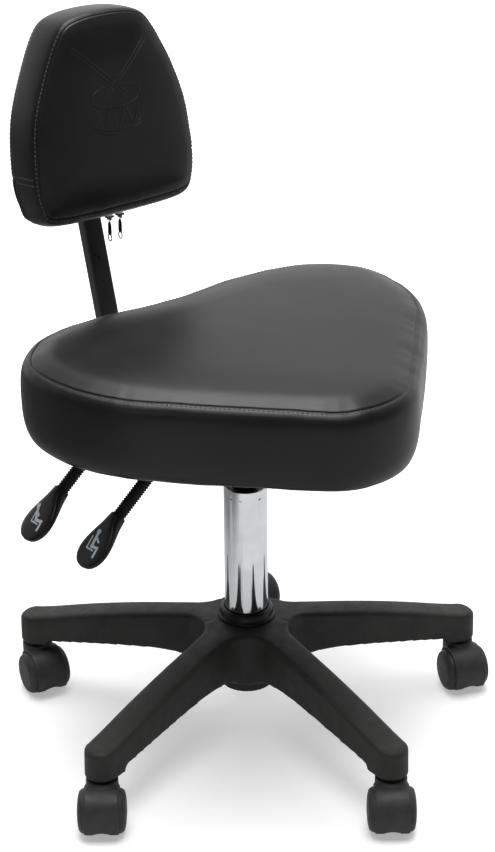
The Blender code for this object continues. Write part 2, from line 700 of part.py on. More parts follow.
def make_housing(seat):
    """The pressed-steel box under the seat, with its lift socket, lever ears and pawl guide."""
    low, high = HOUSING_LOW, HOUSING_HIGH
    shell = put(boxes("mechanism_housing", (low, high)), seat, "black_steel")
    inside = boxes("housing_inside", (low + Vector((SHEET, SHEET, SHEET)),
                                      (high.x - SHEET, high.y - SHEET, CUT_TOP)))
    bracket_slot = ((-0.024, high.y - 0.010, low.z + 0.0035), (0.024, high.y + 0.010, CUT_TOP))
    windows = boxes("housing_openings", lever_window(HEIGHT_LEVER_Y), lever_window(TILT_LEVER_Y),
                    bracket_slot)
    socket = bars("lift_socket", SOCKET_RADIUS, ((0, 0, low.z - 0.008), (0, 0, SOCKET_TOP)))
    ears = []
    rivets = []
    for y in (HEIGHT_LEVER_Y, TILT_LEVER_Y):
        for near, far in ((-EAR_FAR, -EAR_NEAR), (EAR_NEAR, EAR_FAR)):
            ears.append(((LEVER_PIVOT_X - 0.006, y + near, low.z + 0.001),
                         (LEVER_PIVOT_X + 0.006, y + far, LEVER_PIVOT_Z + 0.005)))
        rivets.append(((LEVER_PIVOT_X, y - 0.0095, LEVER_PIVOT_Z),
                       (LEVER_PIVOT_X, y + 0.0095, LEVER_PIVOT_Z)))
    ears = boxes("lever_ears", *ears)
    rivets = bars("lever_rivets", LEVER_PIN_RADIUS, *rivets, steps=12)
    guide_low = (-0.011, PAWL_LOW.y - 0.0065, low.z + 0.001)
    guide = boxes("pawl_guide", (guide_low, (0.011, PAWL_LOW.y - 0.0005, 0.3660)))
    bores = bmesh.new()
    add_bar(bores, CYLINDER_RADIUS + 0.0005, (0, 0, 0.330), (0, 0, CUT_TOP), 20)
    add_bar(bores, BACK_PIN_RADIUS + GAP, BACK_PIVOT - PIVOT_CUT, BACK_PIVOT + PIVOT_CUT, 20)
    bores = mesh_object("housing_bores", bores)
    for tool in (inside, socket, ears, guide, windows, bores, rivets):
        put(tool, seat)
    cut(shell, inside)
    join(shell, socket, ears, guide)
    cut(shell, windows, bores)
    join(shell, rivets)

    reach = Vector((BACK_PIN_REACH, 0.0, 0.0))
    pin = bars("back_pivot_pin", BACK_PIN_RADIUS, (BACK_PIVOT - reach, BACK_PIVOT + reach), steps=16)
    put(pin, seat, "plain_steel")


def bolt_holes(name, radius, low, high):
    return bars(name, radius, *[((x, y, low), (x, y, high)) for x, y in BOLT_PLACES], steps=10)


def make_seat_fixings(seat):
    plate = put(boxes("seat_plate", (PLATE_LOW, PLATE_HIGH)), seat, "black_steel")
    cut(plate, put(bolt_holes("plate_holes", BOLT_RADIUS + GAP, 0.380, 0.400), seat))
    head = PLATE_LOW.z - GAP
    profile = bolt_profile(head - 0.0034, head, BOARD_LOW + 0.003, BOARD_HIGH + GAP)
    for number, (x, y) in enumerate(BOLT_PLACES, start=1):
        put(turned("seat_bolt_%d" % number, profile, 12), seat, "plain_steel", (x, y, 0.0))


def bolt_profile(head_end, head_face, barrel_start, board_face):
    """A bolt with its tee nut: head below, shank up, then the nut's barrel and flange."""
    flange = board_face + 0.0014
    return ((0.0, flange), (0.0090, flange), (0.0090, board_face), (0.0042, board_face),
            (0.0042, barrel_start), (BOLT_RADIUS, barrel_start), (BOLT_RADIUS, head_face),
            (0.0065, head_face), (0.0062, head_end + 0.0010), (0.0045, head_end), (0.0, head_end))


# ---------------------------------------------------------------- levers

def make_lever(name, y, inner_y, kink_x, sleeve_length):
    """A release lever: a bent rod on a pivot, a rubber sleeve and a flat paddle.

    The rod's inner end, at inner_y, lies over the pin or the pawl that it presses.
    """
    pivot = Vector((LEVER_PIVOT_X, y, LEVER_PIVOT_Z))
    carrier = body(name, pivot)
    down = Vector((-math.cos(ROD_SLOPE), 0.0, -math.sin(ROD_SLOPE)))
    kink = Vector((kink_x, y, KINK_Z))
    sleeve_start = kink + down * SLEEVE_GAP
    sleeve_end = sleeve_start + down * sleeve_length
    path = (Vector((0.0040, inner_y, 0.3825)), Vector((-0.0200, inner_y, 0.3822)),
            Vector((-0.0340, y, 0.3800)), pivot, Vector((-0.0700, y, 0.3745)),
            Vector((kink_x * 0.6 - 0.028, y, 0.3735)), kink + Vector((0.010, 0, 0.0030)), kink,
            sleeve_start, sleeve_end, sleeve_end + down * 0.004)
    rod = put(tube_through(name + "_rod", path, LEVER_RADIUS), carrier, "black_steel")
    half_hub = Vector((0.0, EAR_NEAR - 0.0004, 0.0))
    hub = bars(name + "_hub", 0.0060, (pivot - half_hub, pivot + half_hub))
    through = half_hub * 3.0
    hole = bars(name + "_hole", LEVER_PIN_RADIUS + GAP, (pivot - through, pivot + through), steps=12)
    join(rod, put(hub, carrier))
    cut(rod, put(hole, carrier))

    turn = down.to_track_quat("Z", "Y").to_euler()
    bore = LEVER_RADIUS + GAP
    sleeve = turned(name + "_sleeve", (
        (SLEEVE_RADIUS - 0.0006, sleeve_length - 0.0005), (SLEEVE_RADIUS, 0.0), (bore, 0.0),
        (bore, sleeve_length - 0.0005),
    ), 16, ring=True)
    put(sleeve, carrier, "rubber_black", sleeve_start, turn)
    make_paddle(name, carrier, sleeve_end, down)


def make_paddle(name, carrier, start, rod_down):
    """A flat teardrop paddle whose round neck takes the end of the rod."""
    along = Vector((-math.cos(PADDLE_SLOPE), 0.0, -math.sin(PADDLE_SLOPE)))
    across = Vector((0.0, 1.0, 0.0))
    stations = ((0.000, 0.0088, 0.0088), (0.005, 0.0092, 0.0088), (0.013, 0.0108, 0.0076),
                (0.023, 0.0160, 0.0060), (0.035, 0.0200, 0.0050), (0.046, 0.0208, 0.0046),
                (0.056, 0.0184, 0.0042), (0.063, 0.0128, 0.0036), (PADDLE_LENGTH, 0.0060, 0.0028))
    steps = 12
    sections = []
    for along_by, half, thick in stations:
        lead = rod_down if along_by < 0.007 else along
        normal = lead.cross(across)
        centre = start + rod_down * 0.0004 + along * max(along_by - 0.006, 0.0)
        centre = centre + lead * min(along_by, 0.006)
        section = []
        for i in range(steps):
            t = 2.0 * math.pi * i / steps
            section.append(centre + across * half * math.cos(t) + normal * thick * math.sin(t))
        sections.append(section)
    paddle = put(loft(name + "_paddle", sections, sharp=50.0), carrier, "black_plastic")
    mouth = (start - rod_down * 0.010, start + rod_down * 0.0045)
    socket = bars(name + "_socket", LEVER_RADIUS + GAP, mouth, steps=16)
    cut(paddle, put(socket, carrier))


def make_lock_pawl():
    """The tooth that holds the back bracket's tongue until the tilt lever pushes it down."""
    carrier = body("lock_pawl")
    put(boxes("lock_pawl", (PAWL_LOW, PAWL_HIGH)), carrier, "plain_steel")


# ---------------------------------------------------------------- back bracket, bar and knob

def make_back_bracket():
    """The square sleeve that holds the bar, on its pivot barrel, with a tongue for the pawl."""
    carrier = body("back_bracket", BACK_PIVOT)
    inner = Vector((BAR_HALF_X + 0.0004, 0.0, BAR_HALF_Y + 0.0004))
    outer = inner + Vector((SHEET, 0.0, SHEET))
    front = BAR_FRONT_Y - 0.014
    sleeve = boxes("back_bracket", ((-outer.x, front, BAR_Z - outer.z),
                                    (outer.x, SLEEVE_REAR_Y, BAR_Z + outer.z)))
    put(sleeve, carrier, "black_steel")
    half_barrel = Vector((0.0450, 0.0, 0.0))
    barrel = bars("bracket_barrel", 0.0080, (BACK_PIVOT - half_barrel, BACK_PIVOT + half_barrel))
    tongue = boxes("bracket_tongue", ((-0.0090, 0.0750, BAR_Z - 0.003),
                                      (0.0090, front + 0.002, BAR_Z + 0.003)))
    bore = bars("bracket_bore", BACK_PIN_RADIUS + GAP, (BACK_PIVOT - PIVOT_CUT, BACK_PIVOT + PIVOT_CUT))
    channel = boxes("bracket_channel", ((-inner.x, front + 0.002, BAR_Z - inner.z),
                                        (inner.x, SLEEVE_REAR_Y + 0.030, BAR_Z + inner.z)))
    stud = bars("bracket_stud_hole", STUD_RADIUS + GAP, ((0, KNOB_Y, 0.340), (0, KNOB_Y, BAR_Z)),
                steps=16)
    for tool in (barrel, tongue, bore, channel, stud):
        put(tool, carrier)
    join(sleeve, barrel, tongue)
    cut(sleeve, bore, channel, stud)


def bar_section(centre, lean, half_x, half_y, corner):
    """A rectangle with cut corners, square to the bar's direction."""
    across = Vector((1.0, 0.0, 0.0))
    up = Vector((0.0, -math.sin(lean), math.cos(lean)))
    points = []
    for sx, sy in ((1, 1), (-1, 1), (-1, -1), (1, -1)):
        a = (sx * (half_x - corner), sy * half_y)
        b = (sx * half_x, sy * (half_y - corner))
        points += [b, a] if sx * sy > 0 else [a, b]
    return [centre + across * x + up * y for x, y in points]


def bar_path():
    """Centres and directions along the bar: flat, one wide bend up, a small bend to the pad."""
    flat = Vector((0.0, BAR_FRONT_Y, BAR_Z))
    rise = math.radians(90.0) - BAR_LEAN
    corner_y = BAR_MARK.y - (BAR_MARK.z - BAR_Z) * math.tan(BAR_LEAN)
    tangent = BAR_BEND * math.tan(rise / 2.0)
    centre = Vector((0.0, corner_y - tangent, BAR_Z + BAR_BEND))
    path = [(flat, 0.0)]
    bend_steps = 5
    for step in range(bend_steps + 1):
        angle = rise * step / bend_steps
        path.append((centre + Vector((0.0, math.sin(angle), -math.cos(angle))) * BAR_BEND, angle))
    pad_angle = math.radians(90.0) - BACK_LEAN
    pad_depth = BAR_BEHIND + BAR_HALF_Y
    start = back_point((0.0, -0.004), pad_depth)
    lower = start - Vector((0.0, math.sin(BAR_LEAN), math.cos(BAR_LEAN))) * 0.030
    path.append((lower, rise))
    path.append((start, (rise + pad_angle) / 2.0))
    path.append((back_point((0.0, 0.012), pad_depth), pad_angle))
    path.append((back_point((0.0, BAR_TOP), pad_depth), pad_angle))
    return path


def make_upright(carrier):
    path = bar_path()
    outer = [bar_section(c, a, BAR_HALF_X, BAR_HALF_Y, BAR_CORNER) for c, a in path]
    inner = [bar_section(c, a, BAR_HALF_X - BAR_WALL, BAR_HALF_Y - BAR_WALL, BAR_CORNER / 2.0)
             for c, a in path]
    bar = put(loft("upright_bar", outer + inner[::-1], closed=True), carrier, "black_steel")
    cut(bar, put(back_bolt_bars("bar_holes", BOLT_RADIUS + GAP, 0.060, 0.095), carrier))


def make_knob():
    """A lobed clamp knob under the bracket, its stud pointing up at the bar."""
    pivot = Vector((0.0, KNOB_Y, BAR_Z - BAR_HALF_Y))
    carrier = body("clamp_knob", pivot)
    lobes, steps = 5, 20
    sections = []
    for level, grow in ((0.3530, -0.0012), (0.3510, 0.0), (0.3400, 0.0), (0.3380, -0.0015)):
        section = []
        for i in range(steps):
            t = 2.0 * math.pi * i / steps
            radius = 0.0150 + 0.0020 * math.cos(lobes * t) + grow
            section.append(Vector((radius * math.cos(t), KNOB_Y + radius * math.sin(t), level)))
        sections.append(section)
    knob = put(loft("clamp_knob", sections), carrier, "black_plastic")
    stud_end = pivot - Vector((0.0, 0.0, 0.0004))
    stud = bars("knob_stud", STUD_RADIUS, ((0, KNOB_Y, 0.345), stud_end), steps=16)
    join(knob, put(stud, carrier))


# ---------------------------------------------------------------- soft parts

def make_seat(seat):
    outline = smooth_loop(SEAT_SEAM_HALF, 2)
    bm = bmesh.new()
    profile = SEAT_PROFILE + SEAT_FLAP
    rings = cushion_rings(bm, outline, profile, SEAT_CENTRE, SEAT_CORE, seat_point)
    join_rings(bm, rings)
    fan(bm, rings[0], seat_point(SEAT_CENTRE, SEAT_PROFILE[0][1]))
    cover = surface_object("seat_cover", bm)
    solidify = cover.modifiers.new("thickness", "SOLIDIFY")
    solidify.thickness = COVER_THICKNESS
    solidify.offset = -1.0
    put(cover, seat, "vinyl")

    bm = bmesh.new()
    profile = inner_profile(SEAT_PROFILE + SEAT_FLAP[:1], COVER_THICKNESS + GAP)[:-1]
    edge = -BOARD_INSET + 0.0006
    profile += [(edge, BOARD_LOW - 0.0012), (edge, BOARD_HIGH + 0.0023)]
    rings = cushion_rings(bm, outline, profile[1:], SEAT_CENTRE, SEAT_CORE, seat_point)
    join_rings(bm, rings)
    fan(bm, rings[0], seat_point(SEAT_CENTRE, profile[0][1]))
    bm.faces.new(rings[-1])
    put(mesh_object("seat_foam", bm), seat, "foam")

    board = flat_board("seat_board", outline, BOARD_INSET, BOARD_LOW, BOARD_HIGH, SEAT_CENTRE,
                       SEAT_CORE, seat_point)
    put(board, seat, "plywood")
    cut(board, put(bolt_holes("board_holes", 0.0045, 0.390, 0.420), seat))
    cloth = flat_board("seat_dust_cover", outline, 0.028, DUST_LOW, DUST_HIGH, SEAT_CENTRE,
                       SEAT_CORE, seat_point)
    put(cloth, seat, "dust_cloth")
    cut(cloth, put(bolt_holes("cloth_holes", 0.0040, 0.385, 0.400), seat))


def back_bolt_bars(name, radius, near, far, steps=16):
    """Round bars on the axes of the backrest's bolts, between two depths."""
    ends = []
    for height in BACK_BOLT_HEIGHTS:
        ends.append((back_point((0.0, height), near), back_point((0.0, height), far)))
    return bars(name, radius, *ends, steps=steps)


def make_backrest(carrier):
    outline = smooth_loop(BACK_SEAM_HALF, 2)
    bm = bmesh.new()
    rings = cushion_rings(bm, outline, BACK_PROFILE, BACK_CENTRE, BACK_CORE, back_point,
                          BOTTOM_SWELL)
    join_rings(bm, rings)
    fan(bm, rings[0], back_point(BACK_CENTRE, BACK_PROFILE[0][1]))
    fan(bm, rings[-1], back_point(BACK_CENTRE, BACK_PROFILE[-1][1]), flip=True)
    cover = surface_object("backrest_cover", bm)
    solidify = cover.modifiers.new("thickness", "SOLIDIFY")
    solidify.thickness = COVER_THICKNESS
    solidify.offset = -1.0
    put(cover, carrier, "vinyl")
    cut(cover, put(back_bolt_bars("cover_holes", 0.0036, 0.060, 0.070), carrier))

    bm = bmesh.new()
    profile = inner_profile(BACK_PROFILE, COVER_THICKNESS + 2.0 * GAP, side=-1.0)
    front = [p for p in profile if p[1] < BACK_BOARD_FRONT - 0.002]
    rim = front[-1][0]
    front += [(rim - 0.001, BACK_BOARD_FRONT - 0.0006)]
    rings = cushion_rings(bm, outline, front[1:], BACK_CENTRE, BACK_CORE, back_point,
                          BOTTOM_SWELL)
    join_rings(bm, rings)
    fan(bm, rings[0], back_point(BACK_CENTRE, profile[0][1]))
    bm.faces.new(rings[-1])
    foam = put(mesh_object("backrest_foam", bm), carrier, "foam")
    cut(foam, put(back_bolt_bars("foam_pockets", 0.0110, 0.036, 0.060), carrier))

    board = flat_board("backrest_board", outline, BACK_BOARD_INSET, BACK_BOARD_FRONT, BACK_BOARD_REAR,
                       BACK_CENTRE, BACK_CORE, back_point)
    put(board, carrier, "plywood")
    cut(board, put(back_bolt_bars("back_board_holes", 0.0045, 0.030, 0.070), carrier))
    make_back_fixings(carrier)


def make_back_fixings(carrier):
    """Two bolts through the bar, each into a tee nut on the front of the backrest's board."""
    forwards = (-BACK_REARWARD).to_track_quat("Z", "Y").to_euler()
    head = -(BAR_BEHIND + 2.0 * BAR_HALF_Y + GAP)
    profile = bolt_profile(head - 0.0034, head, -BACK_BOARD_REAR + 0.003, -BACK_BOARD_FRONT + GAP)
    for number, height in enumerate(BACK_BOLT_HEIGHTS, start=1):
        bolt = turned("back_bolt_%d" % number, profile, 12)
        put(bolt, carrier, "plain_steel", back_point((0.0, height), 0.0), forwards)


def make_zip(carrier):
    """The zip chain along the bottom of the cover and round its corners."""
    outline = smooth_loop(BACK_SEAM_HALF, 2)
    low, high = (moved_loop(outline, reach, BACK_CENTRE, BACK_CORE, BOTTOM_SWELL)
                 for reach in (ZIP_INNER, ZIP_OUTER))
    sections = []
    for near, far in zip(low, high):
        if near.y < 0.030:
            before, behind = ZIP_DEPTH - ZIP_HALF, ZIP_DEPTH + ZIP_HALF
            sections.append([back_point(near, before), back_point(far, before),
                             back_point(far, behind), back_point(near, behind)])
    put(loft("cover_zip", sections), carrier, "zip_tape")


def make_sliders():
    """Two zip sliders, each with a pull hinged on a pin between two lugs."""
    outline = smooth_loop(BACK_SEAM_HALF, 2)
    lowest = min(p.y for p in moved_loop(outline, ZIP_OUTER, BACK_CENTRE, BACK_CORE, BOTTOM_SWELL))
    for x, word in zip(SLIDER_X, ("left", "right")):
        top = back_point((x, lowest), ZIP_DEPTH) - Vector((0.0, 0.0, 0.0010))
        hinge = top - Vector((0.0, 0.0, 0.0042))
        carrier = body("zip_slider_" + word, top)
        block = boxes("zip_slider_" + word, (top + Vector((-0.0045, -0.0034, -0.0024)),
                                             top + Vector((0.0045, 0.0034, 0.0))))
        put(block, carrier, "zip_metal")
        lugs = boxes("slider_lugs", (hinge + Vector((-0.0014, 0.0017, -0.0014)),
                                     hinge + Vector((0.0014, 0.0030, 0.0028))),
                     (hinge + Vector((-0.0014, -0.0030, -0.0014)),
                      hinge + Vector((0.0014, -0.0017, 0.0028))))
        reach = Vector((0.0, 0.0024, 0.0))
        pin = bars("slider_pin", 0.0005, (hinge - reach, hinge + reach), steps=8)
        join(block, put(lugs, carrier), put(pin, carrier))

        swing = body("zip_pull_" + word, hinge)
        tab = boxes("zip_pull_" + word, (hinge + Vector((-0.0006, -0.0012, -0.0210)),
                                         hinge + Vector((0.0006, 0.0012, -0.0005))))
        put(tab, swing, "zip_metal")
        ring = boxes("pull_ring", (hinge + Vector((-0.0008, -0.0030, -0.0285)),
                                   hinge + Vector((0.0008, 0.0030, -0.0195))))
        hole = boxes("pull_hole", (hinge + Vector((-0.0040, -0.0018, -0.0272)),
                                   hinge + Vector((0.0040, 0.0018, -0.0212))))
        reach = Vector((0.0, 0.0013, 0.0))
        barrel = bars("pull_barrel", 0.0014, (hinge - reach, hinge + reach), steps=10)
        bore = bars("pull_bore", 0.0008, (hinge - reach * 2.0, hinge + reach * 2.0), steps=8)
        join(tab, put(ring, swing), put(barrel, swing))
        cut(tab, put(hole, swing), put(bore, swing))


def tip_seat(names):
    """Tips the pad, its board and its plate slightly nose down, as the mechanism holds them."""
    bpy.context.view_layer.update()
    depsgraph = bpy.context.evaluated_depsgraph_get()
    meshes = {name: bpy.data.meshes.new_from_object(bpy.data.objects[name].evaluated_get(depsgraph))
              for name in names}
    for name, mesh in meshes.items():
        piece = bpy.data.objects[name]
        piece.modifiers.clear()
        piece.data = mesh
        to_throne = THRONE.matrix_world.inverted() @ piece.matrix_world
        from_throne = to_throne.inverted()
        for vertex in mesh.vertices:
            place = to_throne @ vertex.co
            if place.z > SEAT_TIPPED_FROM:
                place.z += SEAT_RISE + SEAT_SLOPE * place.y
                vertex.co = from_throne @ place


# ---------------------------------------------------------------- assembly

clear_scene()
PARTS = new_collection("drum_throne")
CUTTERS = new_collection("cutters")
THRONE = bpy.data.objects.new("throne", None)
PARTS.objects.link(THRONE)
THRONE.location = COLUMN

base_body = body("base")
rod_body = body("column_rod")
seat_body = body("seat_frame")
upright_body = body("upright", BACK_PIVOT)

make_base(base_body)
make_casters()
make_column(base_body, rod_body, seat_body)
make_release_pin()
make_housing(seat_body)
make_seat_fixings(seat_body)
make_lever("height_lever", HEIGHT_LEVER_Y, 0.0, -0.1455, HEIGHT_SLEEVE_LENGTH)
make_lever("tilt_lever", TILT_LEVER_Y, 0.067, -0.1852, TILT_SLEEVE_LENGTH)
make_lock_pawl()
make_back_bracket()
make_upright(upright_body)
make_knob()
make_seat(seat_body)
make_backrest(upright_body)
make_zip(upright_body)
make_sliders()
tip_seat(("mechanism_housing", "seat_plate", "seat_board", "seat_foam", "seat_cover",
          "seat_dust_cover", "seat_bolt_1", "seat_bolt_2", "seat_bolt_3", "seat_bolt_4"))
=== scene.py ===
"""The looks of a wheeled drum throne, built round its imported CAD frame.

Lengths are in metres and +Z is up. The seat's nose points to -Y, the backrest is at +Y and the
levers come out on the -X side. Shapes are laid out round the column's axis, which COLUMN places
in the row frame.
"""

from math import atan2, copysign, cos, pi, radians, sin, sqrt, tan

import bmesh
import bpy
import numpy as np
from mathutils import Matrix, Vector, kdtree, noise
from mathutils.bvhtree import BVHTree


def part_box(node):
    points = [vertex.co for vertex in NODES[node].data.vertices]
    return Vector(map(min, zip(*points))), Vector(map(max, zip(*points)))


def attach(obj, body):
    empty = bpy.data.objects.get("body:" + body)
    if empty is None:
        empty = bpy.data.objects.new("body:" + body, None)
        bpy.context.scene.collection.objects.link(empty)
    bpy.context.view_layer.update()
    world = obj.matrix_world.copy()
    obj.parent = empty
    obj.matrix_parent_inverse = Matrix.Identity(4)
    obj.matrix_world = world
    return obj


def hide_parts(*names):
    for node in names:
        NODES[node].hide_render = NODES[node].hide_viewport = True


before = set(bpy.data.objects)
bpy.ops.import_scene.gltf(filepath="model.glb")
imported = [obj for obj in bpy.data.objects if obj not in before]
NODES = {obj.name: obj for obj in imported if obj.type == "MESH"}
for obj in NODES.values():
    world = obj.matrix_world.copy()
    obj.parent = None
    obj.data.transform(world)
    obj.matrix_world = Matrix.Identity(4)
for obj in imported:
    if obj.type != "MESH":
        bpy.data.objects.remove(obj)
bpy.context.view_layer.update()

COLUMN = Vector((0.0145, -0.0028, 0.0))

# Star base: stations along a leg are (distance from the column, underside, top).
LEG_COUNT = 5
FIRST_LEG = 38.9
LEG_STEP = 72.0
LEG_PITCH = 0.268
LEG_HALF = 0.0185
LEG_BOTTOM = 0.06
LEG_EDGE = 0.008
ROOT_FILLET = 0.03
HUB_TOP = 0.137
HUB_BOTTOM = 0.05
LEG_STATIONS = (
    (0.02, 0.073, 0.1366), (0.048, 0.0765, 0.136), (0.067, 0.081, 0.1342),
    (0.105, 0.0828, 0.129), (0.15, 0.079, 0.1215), (0.2, 0.0733, 0.1115),
    (0.2485, 0.0672, 0.1002), (0.268, 0.0645, 0.0958),
)
LEG_CELLS = ((0.06, 0.108, 0.1215), (0.111, 0.16, 0.113), (0.163, 0.205, 0.104),
             (0.208, 0.243, 0.0955))

# Casters.
CASTER_HEADINGS = (188.4, 200.9, 218.4, 218.4, 191.0)
CASTER_TRAIL = 0.018
WHEEL_RADIUS = 0.025
WEB_HALF = 0.0075
HOOD_RADIUS = 0.0284
HOOD_HALF = 0.0195
HOOD_TOP = 0.0565
NECK_RADIUS = 0.0178
AXLE_RADIUS = 0.003
DISC_REACH = 0.0272

# Column.
TUBE_RADIUS = 0.025
TUBE_BORE = 0.0235
TUBE_TOP = 0.305
CYLINDER_RADIUS = 0.014
CYLINDER_BOTTOM = 0.12
CYLINDER_TOP = 0.372
CRIMP_ANGLES = (178.8, 230.9, 259.3)
CRIMP_DROP = 0.0095
CRIMP_RADIUS = 0.0017

# Levers.
LEVER_PIVOT_X = -0.045
LEVER_PIVOT_Z = 0.378
KINK_Z = 0.37
ROD_SLOPE = radians(40.0)
SLEEVE_GAP = 0.004
RIB_PITCH = 0.0031
LEVER_RADIUS = 0.004
PADDLE_SLOPE = radians(42.0)
PADDLE_STATIONS = (  # distance along it, half width, half thickness
    (0.0, 0.0084, 0.0084), (0.0006, 0.009, 0.0088), (0.005, 0.0092, 0.0088),
    (0.013, 0.011, 0.0076), (0.023, 0.0158, 0.006), (0.035, 0.02, 0.005),
    (0.046, 0.0212, 0.0046), (0.055, 0.0192, 0.0042), (0.0615, 0.0146, 0.0036),
    (0.0652, 0.009, 0.003), (0.067, 0.0016, 0.0012))
PICTOGRAM_SIZE = 1.3

# Backrest bar.
BAR_HALF_X = 0.013
BAR_HALF_Y = 0.0075
BAR_Z = 0.37
BAR_FRONT_Y = 0.13
BAR_LEAN = radians(14.8)
BAR_BEND = 0.035
BAR_MARK = Vector((0.0, 0.2672, 0.451))
BAR_BEHIND = 0.0665
BAR_TOP = 0.135
KNOB_Y = 0.165
BACK_BOLTS = (0.045, 0.105)
SEAT_BOLTS = ((-0.075, -0.08), (0.075, -0.08), (-0.075, 0.07), (0.075, 0.07))

# Seat cushion: half of its seam's outline, then each panel's profile as (reach, height).
SEAT_SEAM_HALF = (
    (0.0, 0.123), (0.104, 0.13), (0.182, 0.118), (0.231, 0.072), (0.2349, 0.008),
    (0.21, -0.05), (0.163, -0.102), (0.091, -0.172), (0.044, -0.215), (0.0, -0.226),
)
SEAT_CENTRE = Vector((0.0, -0.02))
SEAT_CORE = 0.15
SEAT_COLUMNS = 560
SEAT_RISE = 0.003
SEAT_SLOPE = 0.0394
SEAT_TOP = ((-0.15, 0.5), (-0.07, 0.4986), (-0.045, 0.4972), (-0.028, 0.495),
            (-0.015, 0.492), (-0.0065, 0.4886), (0.0, 0.4858))
SEAT_SIDE = ((0.0, 0.4858), (0.0056, 0.4828), (0.0105, 0.475), (0.0127, 0.455),
             (0.0118, 0.422), (0.006, 0.402), (-0.004, 0.3925), (-0.015, 0.3897))
SEAT_UNDER = ((-0.015, 0.3897), (-0.028, 0.3915), (-0.04, 0.3955))

# Backrest cushion: the outline in the seam's plane, then profiles as (reach, depth behind it).
BACK_BASE = Vector((0.0, 0.2252, 0.5794))
BACK_LEAN = radians(6.17)
BACK_SEAM_HALF = (
    (0.0, 0.22), (0.0392, 0.2165), (0.0594, 0.2042), (0.0839, 0.159), (0.1019, 0.1079),
    (0.1073, 0.048), (0.1035, 0.018), (0.088, 0.0015), (0.0, -0.001),
)
BACK_CENTRE = Vector((0.0, 0.1))
BACK_CORE = 0.08
BACK_COLUMNS = 440
BACK_FRONT = ((-0.08, -0.0112), (-0.044, -0.0106), (-0.028, -0.0092), (-0.016, -0.0066),
              (-0.007, -0.0034), (0.0, 0.0))
BACK_BAND = ((0.0, 0.0), (0.0036, 0.0055), (0.0052, 0.018), (0.0054, 0.034),
             (0.004, 0.049), (-0.001, 0.0578))
BACK_REAR = ((-0.001, 0.0578), (-0.009, 0.0622), (-0.03, 0.0648), (-0.08, 0.0655))
BOTTOM_SWELL = 1.35
CROSS_SEAM_HEIGHT = 0.046
ZIP_DEPTH = 0.0425
FIELD_SMOOTHING = 24    # passes over the moves that the simulation gives a cushion
CORNER_SMOOTHING = 240  # passes over an outline moved in by the whole of its core
SIMULATED_SHARE = 0.45  # how much of its unevenness along the seams stays
CLOTH_PRESSURE = 4.0
CLOTH_FRAMES = 20
HELD_REACH = 0.004      # the cloth is held this far from a seam, and is free HELD_FADE beyond it
HELD_FADE = 0.006
SLIM_REACH = 0.018      # how far from a seam the start is slimmed by the whole fullness
MOST_MOVE = 1.6         # the cap on a point's move, in typical moves

# Stitch rows, as distances from their seams, and the zip's pulls and teeth.
SEAT_STITCHES = 0.0028
FRONT_STITCHES = 0.0026
REAR_STITCHES = -0.0036
STITCH_STATIONS = ((-0.5, 0.35, -0.8), (-0.36, 0.9, 0.0), (0.0, 1.1, 0.5), (0.36, 0.9, 0.0),
                   (0.5, 0.35, -0.8))
TOOTH_PITCH = 0.0016
TOOTH_STATIONS = ((-0.0017, 0.5), (-0.0012, 1.0), (0.0012, 1.0), (0.0017, 0.5))
PULL_STATIONS = ((0.0034, 0.0012), (0.0038, 0.002), (0.007, 0.0031), (0.015, 0.0034),
                 (0.019, 0.0031), (0.02, 0.0024), (0.0202, 0.0014))

# CAD pieces that are kept: finish, width of their softened edges, names.
KEPT_NODES = (
    ("black_steel", 0.0007, ("back_bracket", "mechanism_housing")),
    ("black_steel", 0.0004, ("seat_plate",)),
    ("black_steel", 0.0003, ("zip_slider_left", "zip_slider_right")),
    ("plain_steel", 0.0004, ("back_pivot_pin", "lock_pawl")),
    ("plain_steel", 0.0003, ("release_pin", "piston_rod", "rod_clip", "thrust_bearing",
                             *("caster_stem_%d" % k for k in range(1, LEG_COUNT + 1)))),
    ("plywood", 0.0008, ("seat_board", "backrest_board")),
    ("dust_cloth", 0.0, ("seat_dust_cover",)),
)

# Stage: the floor's glow near and far, and the room's on the near and the far side.
FLOOR_GLOW = (0.36, 1.05)
FLOOR_REACH = (0.4, 2.6)  # the distances between which the floor's glow changes
ROOM_GLOW = (0.05, 1.2)
FAR_SIDE = (0.62, 0.78, 0.0)
FLOOR_IN_GLOSS = 0.48   # the floor's whiteness and glow in glossy reflections
FLAG_SIDE = (-0.65, 0.76, 0.0)
FLAG_IN_GLOSS = 0.14    # the same on the side that a flag keeps dark

AREA_LIGHTS = (  # name, place, target, size, power
    ("top", (-0.25, -0.35, 2.9), (0.0, 0.0, 0.2), (1.6, 1.6), 66.0),
    ("rear", (0.42, 0.52, 2.65), (0.0, 0.0, 0.3), (1.0, 1.0), 30.0),
    ("left", (-2.3, -1.3, 1.65), (0.0, 0.1, 0.6), (0.5, 1.3), 4.0),
)
CAMERA_ANGLES = (38.511, 24.37, 0.527)  # azimuth, pitch and roll
CAMERA_PLACE = Vector((-1.3828, -1.7638, 1.3954))
CAMERA_LENS = 93.17

SIDEWAYS = Vector((0.0, 1.0, 0.0))
UP_BACK = Vector((0.0, sin(BACK_LEAN), cos(BACK_LEAN)))
REARWARD = Vector((0.0, cos(BACK_LEAN), -sin(BACK_LEAN)))


# ---------------------------------------------------------------- materials

